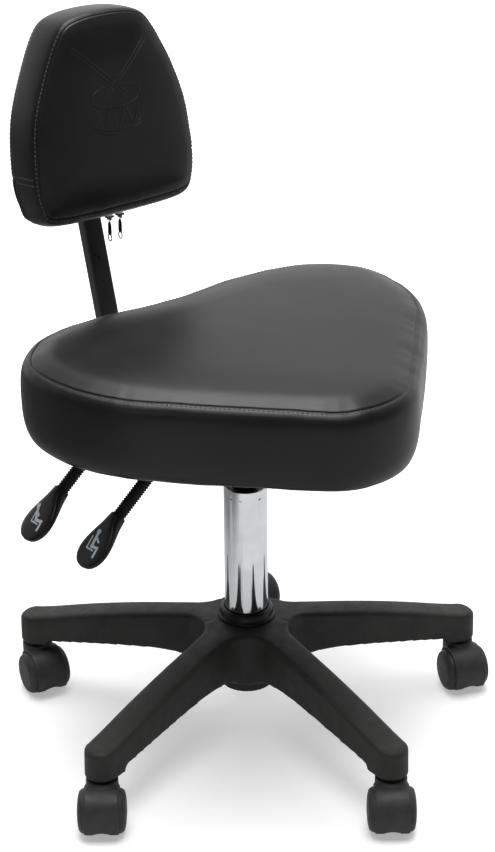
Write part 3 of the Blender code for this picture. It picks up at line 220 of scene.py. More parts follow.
class Nodes:
    """A node tree, and the kinds of node that the finishes and the stage are made of."""

    def __init__(self, tree, coordinates="Object"):
        self.tree = tree
        self.place = self.add("TexCoord").outputs[coordinates]

    def set(self, node, socket, value):
        if isinstance(value, bpy.types.NodeSocket):
            self.tree.links.new(value, node.inputs[socket])
        else:
            node.inputs[socket].default_value = value

    def add(self, kind, inputs=None, **settings):
        node = self.tree.nodes.new("ShaderNode" + kind)
        for name, value in settings.items():
            setattr(node, name, value)
        for socket, value in (inputs or {}).items():
            self.set(node, socket, value)
        return node

    def spread(self, source, low, high, from_low=0.3, from_high=0.7):
        """The source's range from from_low to from_high, stretched to low to high."""
        return self.add("MapRange", {"Value": source, "From Min": from_low, "From Max": from_high,
                                     "To Min": low, "To Max": high}).outputs["Result"]

    def towards(self, direction):
        """How far a place lies in a direction."""
        return self.add("VectorMath", {0: self.place, 1: direction},
                        operation="DOT_PRODUCT").outputs["Value"]


class Finish(Nodes):
    """A procedural material. Textures use object coordinates, so they move with the piece."""

    def __init__(self, name, **sockets):
        self.material = bpy.data.materials.new(name)
        self.material.use_nodes = True
        super().__init__(self.material.node_tree)
        self.shader = self.tree.nodes["Principled BSDF"]
        self.normal = None
        for socket, value in sockets.items():
            self.set(self.shader, socket.replace("_", " "), value)

    def stretched(self, scale):
        """The coordinates, scaled by axis for a texture that runs one way."""
        if scale is None:
            return self.place
        return self.add("Mapping", {"Vector": self.place, "Scale": scale}).outputs["Vector"]

    def noise(self, scale, detail=3.0, rough=0.55, stretch=None):
        return self.add("TexNoise", {"Vector": self.stretched(stretch), "Scale": scale,
                                     "Detail": detail, "Roughness": rough}).outputs["Fac"]

    def cells(self, scale, feature="F1", stretch=None):
        return self.add("TexVoronoi", {"Vector": self.stretched(stretch), "Scale": scale},
                        feature=feature).outputs["Distance"]

    def waves(self, scale, direction):
        return self.add("TexWave", {"Vector": self.place, "Scale": scale},
                        bands_direction=direction).outputs["Fac"]

    def texture(self, kind, *details):
        return getattr(self, kind)(*details)

    def tint(self, texture, low, high):
        """A colour that runs between two with a texture."""
        share = self.spread(self.texture(*texture), 0.0, 1.0)
        node = self.add("Mix", data_type="RGBA")
        self.set(node, "Factor", share)
        for index, colour in ((6, low), (7, high)):
            node.inputs[index].default_value = (*colour, 1.0)
        self.set(self.shader, "Base Color", node.outputs[2])

    def roughen(self, texture, low, high):
        self.set(self.shader, "Roughness", self.spread(self.texture(*texture), low, high))

    def bump(self, texture, strength, distance):
        node = self.add("Bump", {"Height": self.texture(*texture), "Strength": strength,
                                 "Distance": distance})
        if self.normal is not None:
            self.set(node, "Normal", self.normal)
        self.normal = node.outputs["Normal"]
        self.set(self.shader, "Normal", self.normal)


# Each finish: name, specular level, metallic, (texture, one colour, the other colour), then a
# roughness or (texture, low, high), then bumps as (texture, strength, distance).
FINISH_ROWS = (
    ("vinyl", 0.22, 0.0,
     (("noise", 9.0, 4.0), (0.0045, 0.0045, 0.005), (0.0075, 0.0075, 0.008)),
     (("noise", 18.0, 3.0, 0.5), 0.33, 0.38), (("cells", 620.0, "SMOOTH_F1"), 0.16, 0.00025)),
    ("thread", 0.5, 0.0, (("noise", 900.0), (0.03, 0.03, 0.031), (0.085, 0.085, 0.088)),
     0.55, (("waves", 1100.0, "DIAGONAL"), 0.5, 0.0002)),
    ("base_nylon", 0.3, 0.0,
     (("noise", 34.0, 6.0, 0.65), (0.0125, 0.0122, 0.0114), (0.0225, 0.0218, 0.0205)),
     (("noise", 70.0, 5.0), 0.5, 0.66), (("noise", 1300.0, 2.0), 0.3, 0.0003),
     (("noise", 120.0, 3.0), 0.1, 0.0006)),
    ("caster_plastic", 0.25, 0.0,
     (("noise", 60.0, 5.0), (0.023, 0.023, 0.0234), (0.037, 0.037, 0.0376)),
     (("noise", 110.0, 4.0), 0.42, 0.6), (("noise", 1500.0, 2.0), 0.22, 0.00025)),
    ("chrome", 0.5, 1.0, (("noise", 30.0, 3.0), (0.62, 0.63, 0.65), (0.74, 0.75, 0.77)),
     (("noise", 240.0, 4.0, 0.6, (1.0, 1.0, 0.08)), 0.05, 0.13),
     (("noise", 420.0, 2.0), 0.04, 0.0002)),
    ("black_plastic", 0.22, 0.0,
     (("noise", 80.0, 3.0), (0.005, 0.005, 0.005), (0.009, 0.009, 0.0093)),
     (("noise", 160.0, 4.0), 0.26, 0.4), (("noise", 900.0, 2.0), 0.1, 0.0002)),
    ("rubber_black", 0.25, 0.0,
     (("noise", 120.0, 4.0), (0.005, 0.005, 0.0046), (0.011, 0.011, 0.01)),
     (("noise", 200.0, 3.0), 0.5, 0.72), (("noise", 1100.0, 2.0), 0.25, 0.0002)),
    ("black_steel", 0.5, 0.0, (("noise", 50.0, 4.0), (0.013, 0.013, 0.013), (0.021, 0.021, 0.021)),
     (("noise", 90.0, 4.0), 0.26, 0.4), (("noise", 420.0, 2.0), 0.16, 0.0003)),
    ("plain_steel", 0.5, 1.0, (("noise", 90.0, 4.0), (0.4, 0.4, 0.42), (0.55, 0.55, 0.56)),
     (("noise", 300.0, 4.0, 0.6, (1.0, 1.0, 0.1)), 0.22, 0.42),
     (("noise", 800.0, 2.0), 0.1, 0.0001)),
    ("plywood", 0.5, 0.0,
     (("noise", 40.0, 6.0, 0.6, (0.12, 1.0, 1.0)), (0.42, 0.28, 0.15), (0.62, 0.45, 0.28)),
     0.7, (("noise", 300.0, 3.0, 0.6, (0.1, 1.0, 1.0)), 0.25, 0.0003)),
    ("dust_cloth", 0.5, 0.0, (("noise", 380.0, 5.0), (0.01, 0.01, 0.01), (0.034, 0.034, 0.034)),
     0.95, (("cells", 420.0, "F1", (1.0, 0.35, 1.0)), 0.5, 0.0004)),
    ("zip_tape", 0.5, 0.0, (("waves", 900.0, "X"), (0.008, 0.008, 0.008), (0.024, 0.024, 0.024)),
     0.8, (("waves", 900.0, "X"), 0.5, 0.0003)),
    ("zip_metal", 0.5, 1.0, (("noise", 300.0, 3.0), (0.42, 0.42, 0.43), (0.62, 0.62, 0.63)),
     (("noise", 500.0, 3.0), 0.2, 0.36)),
    ("pictogram_paint", 0.3, 0.0, (("noise", 700.0, 4.0), (0.24, 0.27, 0.29), (0.36, 0.39, 0.41)),
     0.5, (("noise", 1500.0, 2.0), 0.2, 0.0001)),
)


def make_finish(name, level, metallic, tint, roughness, *bumps):
    finish = Finish(name, Specular_IOR_Level=level, Metallic=metallic)
    finish.tint(*tint)
    if isinstance(roughness, float):
        finish.set(finish.shader, "Roughness", roughness)
    else:
        finish.roughen(*roughness)
    for bump in bumps:
        finish.bump(*bump)
    return finish.material


FINISHES = {row[0]: make_finish(*row) for row in FINISH_ROWS}


# ---------------------------------------------------------------- mesh helpers

def heading(degrees):
    """Unit vector at an angle from +Y towards +X."""
    angle = radians(degrees)
    return Vector((sin(angle), cos(angle), 0.0))


def link(obj):
    bpy.context.scene.collection.objects.link(obj)
    return obj


def remove(*objects):
    for obj in objects:
        bpy.data.objects.remove(obj, do_unlink=True)


def shade(mesh, sharp):
    mesh.shade_smooth()
    mesh.set_sharp_from_angle(angle=radians(sharp))


def from_bmesh(name, bm, sharp=40.0):
    bmesh.ops.recalc_face_normals(bm, faces=bm.faces)
    mesh = bpy.data.meshes.new(name)
    bm.to_mesh(mesh)
    bm.free()
    shade(mesh, sharp)
    return link(bpy.data.objects.new(name, mesh))


def copy_of(obj, name, matrix):
    """A copy of a piece, moved in its own space."""
    copy = bpy.data.objects.new(name, obj.data.copy())
    copy.data.transform(matrix)
    return link(copy)


def apply_modifiers(obj, sharp=None):
    depsgraph = bpy.context.evaluated_depsgraph_get()
    mesh = bpy.data.meshes.new_from_object(obj.evaluated_get(depsgraph))
    obj.modifiers.clear()
    obj.data = mesh
    if sharp is not None:
        shade(mesh, sharp)


def boolean(target, operation, tools, sharp=40.0):
    """Join the tools to a solid, or cut them out of it, and remove them."""
    for tool in tools:
        modifier = target.modifiers.new("boolean", "BOOLEAN")
        modifier.operation = operation
        modifier.solver = "EXACT"
        modifier.object = tool
    bpy.context.view_layer.update()
    apply_modifiers(target, sharp)
    remove(*tools)


def add_remesh(obj, voxel):
    remesh = obj.modifiers.new("remesh", "REMESH")
    remesh.mode = "VOXEL"
    remesh.voxel_size = voxel


def moulded(obj, voxel, smoothing):
    """Remesh a solid and smooth it, which rounds its edges and inner corners as a mould does."""
    add_remesh(obj, voxel)
    smooth = obj.modifiers.new("smooth", "SMOOTH")
    smooth.factor = 0.5
    smooth.iterations = smoothing
    apply_modifiers(obj)
    obj.data.shade_smooth()
    return obj


def give(obj, finish, body, nodes=(), at=COLUMN, turn=0.0):
    """Put a piece in the row frame, on its body, with its finish and the nodes it stands for."""
    obj.data.transform(Matrix.Translation(at) @ Matrix.Rotation(turn, 4, "Z"))
    obj.data.materials.clear()
    obj.data.materials.append(FINISHES[finish])
    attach(obj, body)
    if nodes:
        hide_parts(*nodes)


def add_box(bm, low, high):
    low, high = Vector(low), Vector(high)
    made = bmesh.ops.create_cube(bm, size=1.0)["verts"]
    bmesh.ops.scale(bm, vec=high - low, verts=made)
    bmesh.ops.translate(bm, vec=(low + high) / 2.0, verts=made)


def box(name, low, high):
    bm = bmesh.new()
    add_box(bm, low, high)
    return from_bmesh(name, bm)


def pointing(direction):
    """The turn that takes +Z to a direction."""
    return direction.to_track_quat("Z", "Y").to_matrix().to_4x4()


def bar(name, radius, start, end, steps=48):
    start, end = Vector(start), Vector(end)
    bm = bmesh.new()
    made = bmesh.ops.create_cone(bm, cap_ends=True, segments=steps, radius1=radius,
                                 radius2=radius, depth=(end - start).length)["verts"]
    place = Matrix.Translation((start + end) / 2.0) @ pointing(end - start)
    bmesh.ops.transform(bm, matrix=place, verts=made)
    return from_bmesh(name, bm)


def circle(centre, across, up, steps):
    """Points round an ellipse with two half axes."""
    return [centre + across * cos(t) + up * sin(t)
            for t in (2 * pi * k / steps for k in range(steps))]


def join_rings(bm, rings, closed=False, caps=False):
    """Faces between rings of vertices, one after the other. A ring may be a single vertex."""
    for first, second in zip(rings, rings[1:] + rings[:1] if closed else rings[1:]):
        count = max(len(first), len(second))
        for i in range(count):
            j = (i + 1) % count
            corners = dict.fromkeys((first[i % len(first)], first[j % len(first)],
                                     second[j % len(second)], second[i % len(second)]))
            if len(corners) > 2:
                bm.faces.new(list(corners))
    if caps:
        bm.faces.new(rings[0])
        bm.faces.new(rings[-1])


def softened(points, radius, closed, steps=3):
    """A profile with its corners rounded."""
    count = len(points)
    made = []
    for i, point in enumerate(points):
        here = Vector(point)
        if not closed and i in (0, count - 1):
            made.append(here)
            continue
        before, after = Vector(points[i - 1]), Vector(points[(i + 1) % count])
        reach = min(radius, (before - here).length * 0.45, (after - here).length * 0.45)
        first = here + (before - here).normalized() * reach
        last = here + (after - here).normalized() * reach
        for step in range(steps + 1):
            t = step / steps
            made.append(first * (1 - t) ** 2 + here * 2 * t * (1 - t) + last * t ** 2)
    return made


def turned(name, profile, steps=96, radius=0.0004, ring=False, sharp=40.0):
    """A turned piece on +Z from its (radius, height) profile, with softened edges."""
    bm = bmesh.new()
    rings = []
    for r, z in softened(profile, radius, ring):
        centre = Vector((0.0, 0.0, z))
        if r < 1e-6:
            points = [centre]
        else:
            points = circle(centre, Vector((r, 0, 0)), Vector((0, r, 0)), steps)
        rings.append([bm.verts.new(p) for p in points])
    join_rings(bm, rings, closed=ring)
    return from_bmesh(name, bm, sharp)


def loft(name, sections, closed=False, sharp=40.0):
    bm = bmesh.new()
    rings = [[bm.verts.new(p) for p in section] for section in sections]
    join_rings(bm, rings, closed, caps=not closed)
    return from_bmesh(name, bm, sharp)


def between(a, b, c, d, t):
    """A Catmull-Rom curve's point between b and c."""
    return 0.5 * (2 * b + (c - a) * t + (2 * a - 5 * b + 4 * c - d) * t * t
                  + (3 * b - a - 3 * c + d) * t ** 3)


def curve_through(points, count):
    """A smooth curve through points of any dimension, at evenly spaced parameters."""
    points = [np.array(p, float) for p in points]
    points = [2 * points[0] - points[1]] + points + [2 * points[-1] - points[-2]]
    spans = len(points) - 3
    made = []
    for k in range(count):
        u = spans * k / (count - 1)
        i = min(int(u), spans - 1)
        made.append(between(*points[i:i + 4], u - i))
    return np.array(made)


def run_along(points):
    """The distance run along a polyline at each of its points."""
    steps = np.linalg.norm(np.diff(points, axis=0), axis=1)
    return np.concatenate([[0.0], np.cumsum(steps)])


def sampled(run, line, at):
    """A polyline's values at distances along it."""
    return np.stack([np.interp(at, run, line[:, k]) for k in range(line.shape[1])], -1)


def even_steps(points, shares):
    """Points of a polyline at shares of its length."""
    points = np.asarray(points, float)
    run = run_along(points)
    return sampled(run, points, np.asarray(shares) * run[-1])


def rod_along(name, points, radius, steps=24, count=120):
    """A round rod along a smooth curve through the points, which stay off the Y direction."""
    path = curve_through(points, count)
    sections = []
    for i, centre in enumerate(path):
        along = Vector(path[min(i + 1, count - 1)] - path[max(i - 1, 0)]).normalized()
        side = along.cross(SIDEWAYS).normalized()
        sections.append(circle(Vector(centre), side * radius, side.cross(along) * radius, steps))
    return loft(name, sections)


# ---------------------------------------------------------------- cushions

def relaxed(loop, passes):
    """A closed loop of points, each drawn towards its neighbours."""
    for _ in range(passes):
        loop = loop * 0.5 + (np.roll(loop, 1, 0) + np.roll(loop, -1, 0)) * 0.25
    return loop


def smooth_outline(half, count):
    """A smooth closed outline through half the points and their mirror images, evenly spaced."""
    points = [np.array(p) for p in half] + [np.array((-x, y)) for x, y in reversed(half[1:-1])]
    total = len(points)
    fine = [between(*(points[(i + k - 1) % total] for k in range(4)), step / 24)
            for i in range(total) for step in range(24)]
    return relaxed(even_steps(fine + fine[:1], np.arange(count) / count), 12)


def rounded_outline(loop, waves=2):
    """The loop with only its lowest waves left, which is close to an ellipse."""
    spectrum = np.fft.fft(loop[:, 0] + 1j * loop[:, 1])
    spectrum[waves + 1:len(loop) - waves] = 0.0
    plain = np.fft.ifft(spectrum)
    return np.stack([plain.real, plain.imag], 1)


def moved_outline(loop, reach, centre, core, swell):
    """The outline moved outwards by reach.

    Deep inward moves shrink it towards its centre and round it off, so that no creases run
    in from its corners.
    """
    near = max(reach, -core * 0.15)
    along = np.roll(loop, -1, 0) - np.roll(loop, 1, 0)
    out = np.stack([-along[:, 1], along[:, 0]], 1)
    out /= np.linalg.norm(out, axis=1)[:, None]
    lower = swell * np.clip(-out[:, 1], 0, None) ** 2 if near > 0 else np.zeros(len(loop))
    moved = loop + out * near * (1.0 + lower)[:, None]
    moved = relaxed(moved, int(CORNER_SMOOTHING * max(-near, 0.0) / core))
    if reach < near:
        share = (core + reach) / (core + near)
        plain = min(1.0, (1.0 - share) * 1.5)
        plain = plain * plain * (3.0 - 2.0 * plain)
        moved = moved * (1.0 - plain) + rounded_outline(moved) * plain
        moved = np.array(centre) + (moved - np.array(centre)) * share
    return moved


class Cushion:
    """A cushion's surface as rows of points: panels follow each other from front to back."""

    def __init__(self, outline, panels, centre, core, to_space, swell=0.0):
        self.seams = []
        profile = []
        for number, (points, count, ends) in enumerate(panels):
            u = np.linspace(0, 1, count)
            share = {"last": np.sin(u * pi / 2), "both": (1 - np.cos(u * pi)) / 2,
                     "first": 1 - np.cos(u * pi / 2), "even": u}[ends]
            fine = even_steps(curve_through(points, 200), share)
            profile += list(fine if number == 0 else fine[1:])
            self.seams.append(len(profile) - 1)
        profile = [p for p in profile if p[0] > -core * 0.999]
        lost = self.seams[-1] + 1 - len(profile)
        first_lost = 1 if panels[0][0][0][0] <= -core else 0
        self.seams = [s - first_lost for s in self.seams]
        self.closed_back = lost > first_lost
        self.profile = np.array(profile)
        self.points = np.array([
            [to_space(p, level) for p in moved_outline(outline, reach, centre, core, swell)]
            for reach, level in profile])
        self.run = run_along(self.profile)

    def normals(self):
        across = np.roll(self.points, -1, 1) - np.roll(self.points, 1, 1)
        made = np.cross(np.gradient(self.points, axis=0), across)
        made /= np.linalg.norm(made, axis=2)[:, :, None]
        middle = self.points.mean(axis=(0, 1))
        return -made if ((self.points - middle) * made).sum() < 0 else made

    def from_seam(self, seam):
        """Each row's distance from a seam, along the profile: negative before it."""
        return self.run - self.run[self.seams[seam]]

    def push(self, amounts):
        """Move points along their normals, by one value for each row and column."""
        self.points = self.points + self.normals() * amounts[:, :, None]

    def build(self, name):
        bm = bmesh.new()
        rings = [[bm.verts.new(p) for p in row] for row in self.points]
        join_rings(bm, rings)
        if not self.closed_back:
            bm.faces.new(rings[-1])
        for ring in (rings[0], rings[-1])[:1 + self.closed_back]:
            tip = bm.verts.new(sum((v.co for v in ring), Vector()) / len(ring))
            join_rings(bm, [ring, [tip]])
        return from_bmesh(name, bm, sharp=75.0)


def search_tree(points):
    tree = kdtree.KDTree(len(points))
    for i, point in enumerate(points):
        tree.insert(point, i)
    tree.balance()
    return tree


def blown_up(pad, seam_points):
    """Run the pad as cloth under pressure, held near its seams. Gives its points and moves."""
    held = search_tree(seam_points)
    group = pad.vertex_groups.new(name="held")
    rest = [v.co.copy() for v in pad.data.vertices]
    for i, point in enumerate(rest):
        away = held.find(point)[2] - HELD_REACH
        group.add([i], max(0.0, 1.0 - max(0.0, away) / HELD_FADE), "REPLACE")
    settings = pad.modifiers.new("cloth", "CLOTH").settings
    settings.effector_weights.gravity = 0.0
    settings.use_pressure = True
    settings.uniform_pressure_force = CLOTH_PRESSURE
    settings.quality = 5
    settings.vertex_group_mass = "held"
    for number in range(1, CLOTH_FRAMES + 1):
        bpy.context.scene.frame_set(number)
    apply_modifiers(pad)
    bpy.context.scene.frame_set(1)
    return rest, np.array([np.array(v.co) - np.array(r) for v, r in zip(pad.data.vertices, rest)])


def swell_by_cloth(cushion, name, fullness, voxel):
    """Blow the cushion up as cloth from a slimmer start, and keep its unevenness."""
    near = np.min([np.abs(cushion.from_seam(s)) for s in (0, 1)], axis=0)
    aim = cushion.points.copy()
    cushion.push(-fullness * np.clip(near / SLIM_REACH, 0.0, 1.0)[:, None] ** 0.8)
    pad = cushion.build(name + "_sim")
    add_remesh(pad, voxel)
    apply_modifiers(pad)
    rest, moves = blown_up(pad, cushion.points[cushion.seams[:2]].reshape(-1, 3))
    tree = search_tree(rest)
    size = np.linalg.norm(moves, axis=1)
    typical = max(np.percentile(size, 80), 1e-6)
    moves *= (np.minimum(size, MOST_MOVE * typical) / np.maximum(size, 1e-9))[:, None]
    moves *= fullness / typical
    field = np.zeros((cushion.points[:, :, 0].size, 3))
    for k, point in enumerate(cushion.points.reshape(-1, 3)):
        found = tree.find_n(point, 8)
        weights = np.array([1.0 / (f[2] + 0.002) ** 2 for f in found])
        field[k] = weights @ moves[[f[1] for f in found]] / weights.sum()
    field = field.reshape(cushion.points.shape)
    for _ in range(FIELD_SMOOTHING):
        field = field * 0.5 + (np.roll(field, 1, 1) + np.roll(field, -1, 1)) * 0.25
        field[1:-1] = field[1:-1] * 0.5 + (field[:-2] + field[2:]) * 0.25
    cushion.points = cushion.points + field
    lack = ((aim - cushion.points) * cushion.normals()).sum(axis=2)
    mean = lack.mean(axis=1, keepdims=True)
    cushion.push(mean + (lack - mean) * (1.0 - SIMULATED_SHARE))
    remove(pad)


def wrinkles(cushion, seam, scale, fade, height):
    """Small folds that run out from a seam, where the stitching gathers the cover."""
    distance = np.abs(cushion.from_seam(seam))
    line = cushion.points[cushion.seams[seam]]
    folds = np.array([noise.noise(p * scale) + 0.5 * noise.noise(p * scale * 2.3)
                      for p in map(Vector, line)])
    return height * np.exp(-(distance / fade) ** 2)[:, None] * folds[None, :]


def lumps(cushion, scale, height):
    """Low, wide unevenness of a stuffed surface."""
    flat = cushion.points.reshape(-1, 3)
    made = np.array([noise.noise(Vector(p) * scale) for p in flat])
    return height * made.reshape(cushion.points.shape[:2])


def groove(distance, width, depth):
    return -depth * np.exp(-(np.asarray(distance) / width) ** 2)


def row_at(cushion, offset, seam):
    """The line of surface points at a distance from a seam, with its normals."""
    run = cushion.run[cushion.seams[seam]] + offset
    after = int(np.searchsorted(cushion.run, run))
    after = min(max(after, 1), len(cushion.run) - 1)
    t = (run - cushion.run[after - 1]) / (cushion.run[after] - cushion.run[after - 1])
    normals = cushion.normals()
    line = cushion.points[after - 1] * (1 - t) + cushion.points[after] * t
    return line, normals[after - 1] * (1 - t) + normals[after] * t


def add_bead(bm, stations, across, up):
    """A closed six-sided bead through stations of (centre, size)."""
    join_rings(bm, [[bm.verts.new(p) for p in circle(centre, across * size, up * size, 6)]
                    for centre, size in stations], caps=True)


def stitches(name, lines, pitch=0.005, length=0.0034, radius=0.00042, lift=0.00012):
    """Rows of thread stitches, each a small capsule half sunk in the cover."""
    bm = bmesh.new()
    for line, normals, closed in lines:
        if closed:
            line, normals = (np.concatenate([a, a[:1]]) for a in (line, normals))
        run = run_along(line)
        count = max(int(round(run[-1] / pitch)), 1)
        for k in range(count):
            at = (k + 0.5) * run[-1] / count
            out = Vector(sampled(run, normals, at)).normalized()
            start, middle, end = (Vector(sampled(run, line, at + length * share))
                                  for share in (-0.5, 0.0, 0.5))
            along = (end - start).normalized()
            add_bead(bm, [(middle + along * length * share + out * (lift + radius * rise), size)
                          for share, size, rise in STITCH_STATIONS],
                     along.cross(out) * radius, out * radius)
    return from_bmesh(name, bm, 70.0)


def seat_space(flat, level):
    return (flat[0], flat[1], level + SEAT_RISE + SEAT_SLOPE * flat[1])


def back_space(flat, depth):
    return tuple(BACK_BASE + Vector((flat[0], 0, 0)) + UP_BACK * flat[1] + REARWARD * depth)


def make_seat():
    outline = smooth_outline(SEAT_SEAM_HALF, SEAT_COLUMNS)
    cushion = Cushion(outline, ((SEAT_TOP, 38, "last"), (SEAT_SIDE, 52, "both"),
                                (SEAT_UNDER, 8, "even")), SEAT_CENTRE, SEAT_CORE, seat_space)
    swell_by_cloth(cushion, "seat", 0.0035, 0.006)
    top = cushion.from_seam(0)
    relief = groove(top, 0.0009, 0.0011) + groove(top - SEAT_STITCHES, 0.001, 0.00035)
    cushion.push(relief[:, None] + wrinkles(cushion, 0, 34.0, 0.016, 0.0007)
                 + wrinkles(cushion, 1, 22.0, 0.02, 0.0012) + lumps(cushion, 9.0, 0.0009))
    give(cushion.build("seat_cushion"), "vinyl", "seat_frame",
         ("seat_cover", "seat_foam"))
    rows = [(*row_at(cushion, SEAT_STITCHES, 0), True)]
    give(stitches("seat_stitching", rows), "thread", "seat_frame")


def make_backrest():
    count = BACK_COLUMNS
    outline = smooth_outline(BACK_SEAM_HALF, count)
    cushion = Cushion(outline, ((BACK_FRONT, 36, "last"), (BACK_BAND, 54, "both"),
                                (BACK_REAR, 26, "first")), BACK_CENTRE, BACK_CORE, back_space,
                      BOTTOM_SWELL)
    swell_by_cloth(cushion, "back", 0.0025, 0.0045)
    front, rear = cushion.from_seam(0), cushion.from_seam(1)
    on_band = ((front >= -1e-6) & (rear <= 1e-6)).astype(float)
    relief = (groove(front, 0.0009, 0.0011) + groove(front - FRONT_STITCHES, 0.001, 0.0003)
              + groove(rear, 0.001, 0.0011) + groove(rear - REAR_STITCHES, 0.0011, 0.0003))
    low = outline[:, 1] < CROSS_SEAM_HEIGHT
    spacing = np.linalg.norm(np.roll(outline, -1, 0) - outline, axis=1).mean()
    crossings = [i for i in range(count) if low[i] != low[i - 1]]
    from_crossing = [np.abs((np.arange(count) - c + count // 2) % count - count // 2) * spacing
                     for c in crossings]
    pushed = relief[:, None]
    for away in from_crossing:
        pushed = pushed + on_band[:, None] * (groove(away, 0.0012, 0.001)
                                              + groove(away - 0.0034, 0.0011, 0.0003))[None, :]
    inside = np.where(low, np.clip(np.minimum(*from_crossing) / 0.004, 0, 1), 0.0)
    depth = np.abs(cushion.profile[:, 1] - ZIP_DEPTH)
    lips = (np.exp(-((depth - 0.0046) / 0.0016) ** 2) * 0.0006
            - 0.0016 * np.clip(1.5 - depth / 0.003, 0, 1)) * on_band
    cushion.push(pushed + lips[:, None] * inside[None, :]
                 + wrinkles(cushion, 0, 42.0, 0.012, 0.0005) + lumps(cushion, 13.0, 0.0007))
    pad = cushion.build("backrest_cushion")
    rows = [(*row_at(cushion, FRONT_STITCHES, 0), True), (*row_at(cushion, REAR_STITCHES, 1), True)]
    normals = cushion.normals()
    band = [i for i in range(len(front)) if front[i] > 0.006 and rear[i] < -0.006]
    for crossing in crossings:
        for step in (-2, 2):
            column = (crossing + step) % count
            rows.append((cushion.points[band, column], normals[band, column], False))
    give(stitches("backrest_stitching", rows), "thread", "upright")
    make_zip(cushion, low)
    make_embossing(pad)
    give(pad, "vinyl", "upright", ("backrest_cover", "backrest_foam"))


def make_zip(cushion, low):
    """The zip: a woven tape in its groove, with a coil of fine teeth along the middle."""
    row = int(np.argmin(np.abs(cushion.profile[:, 1] - ZIP_DEPTH)
                        + (cushion.from_seam(0) < 0) + (cushion.from_seam(1) > 0)))
    count = len(low)
    start = next(i for i in range(count) if low[i] and not low[i - 1])
    columns = [(start + k) % count for k in range(low.sum())][2:-2]
    line = cushion.points[row][columns]
    out = cushion.normals()[row][columns]
    for _ in range(6):
        out[1:-1] = (out[:-2] + 2 * out[1:-1] + out[2:]) / 4
    out /= np.linalg.norm(out, axis=1)[:, None]
    half_tape = np.array(REARWARD) * 0.003
    sections = []
    for point, away in zip(line, out):
        low_side, high_side = point - away * 0.0004, point + away * 0.0006
        sections.append([Vector(p) for p in (low_side - half_tape, high_side - half_tape,
                                             high_side + half_tape, low_side + half_tape)])
    give(loft("zip_tape", sections), "zip_tape", "upright", ("cover_zip",))
    run = run_along(line)
    bm = bmesh.new()
    for k in range(int(run[-1] / TOOTH_PITCH)):
        s = (k + 0.5) * TOOTH_PITCH
        point, after = (Vector(sampled(run, line, at)) for at in (s, s + 0.001))
        away = Vector(sampled(run, out, s)).normalized()
        along = (after - point).normalized()
        middle = point + REARWARD * (0.0004 if k % 2 else -0.0004) + away * 0.001
        add_bead(bm, [(middle + REARWARD * across, size) for across, size in TOOTH_STATIONS],
                 along * 0.0006, away * 0.0007)
    give(from_bmesh("zip_teeth", bm, 60.0), "black_plastic", "upright")


def surface_over(pad):
    bm = bmesh.new()
    bm.from_mesh(pad.data)
    tree = BVHTree.FromBMesh(bm)
    bm.free()
    return tree


def make_embossing(pad):
    """A plain embossed device on the front: a small drum under two crossed sticks."""
    tree = surface_over(pad)
    half, deep, rim, foot = 0.034, 0.013, 0.128, 0.098
    turn = np.linspace(0, 2 * pi, 49)
    under = np.linspace(pi, 2 * pi, 25)
    lines = [[(half * cos(t), level + deep * sin(t)) for t in angles]
             for level, angles in ((rim, turn), (foot + 0.004, under), (foot, under))]
    for side in (-1, 1):
        lines.append([(side * half, rim), (side * half, foot)])
        lines.append([(side * 0.052, 0.186), (-side * 0.012, 0.126)])
        lines.append([(side * 0.049, 0.189), (-side * 0.015, 0.129)])
    for share in (-0.6, 0.0, 0.6):
        ends = [(half * (share + step), rim - deep * 0.85) for step in (-0.28, 0.28)]
        lines.append([ends[0], (half * share, foot - deep * 0.7), ends[1]])
    for number, flat in enumerate(lines, start=1):
        hits = [tree.ray_cast(Vector(back_space(p, -0.05)), REARWARD)
                for p in even_steps(flat, np.linspace(0, 1, 60))]
        bead = surface_bead("embossing_%d" % number, [h[0] + h[1] * -0.0002 for h in hits])
        give(bead, "vinyl", "upright")


def surface_bead(name, points, half=0.0011, rise=0.0006):
    """A low raised bead along a line of surface points."""
    sections = []
    last = len(points) - 1
    for i, point in enumerate(points):
        along = (points[min(i + 1, last)] - points[max(i - 1, 0)]).normalized()
        side = along.cross(REARWARD).normalized()
        fade = min(1.0, 0.35 + min(i, last - i) / 4.0)
        sections.append(circle(point, side * half, REARWARD * (-rise * fade), 10))
    return loft(name, sections, sharp=80.0)


# ---------------------------------------------------------------- base and casters

def leg_half_width(s):
    """Half of a leg's plan width: a fillet out of the hub, then straight."""
    slope = tan(radians(LEG_STEP / 2))
    tangent = (LEG_HALF + ROOT_FILLET) / slope
    if s > tangent:
        return LEG_HALF
    bisector = s * slope + 0.0006
    if s < tangent - ROOT_FILLET * 0.85:
        return bisector
    return min(bisector, LEG_HALF + ROOT_FILLET
               - sqrt(ROOT_FILLET ** 2 - (tangent - s) ** 2))


def leg_section(s, half, low, high, edge):
    """A leg's cross-section with drafted sides and rounded top edges."""
    edge = min(edge, half * 0.8)
    right = [(half + 0.0004, low), (half, (low + high) / 2)]
    for step in range(8):
        t = radians(90.0 * step / 7)
        right.append((half - edge + edge * cos(t) - 0.0004,
                      high - edge * 0.62 + edge * 0.62 * sin(t)))
    for share in (0.6, 0.3):
        right.append(((half - edge) * share, high + 0.0006 * (1 - share)))
    return [Vector((x, s, z)) for x, z in right + [(-x, z) for x, z in reversed(right)]]


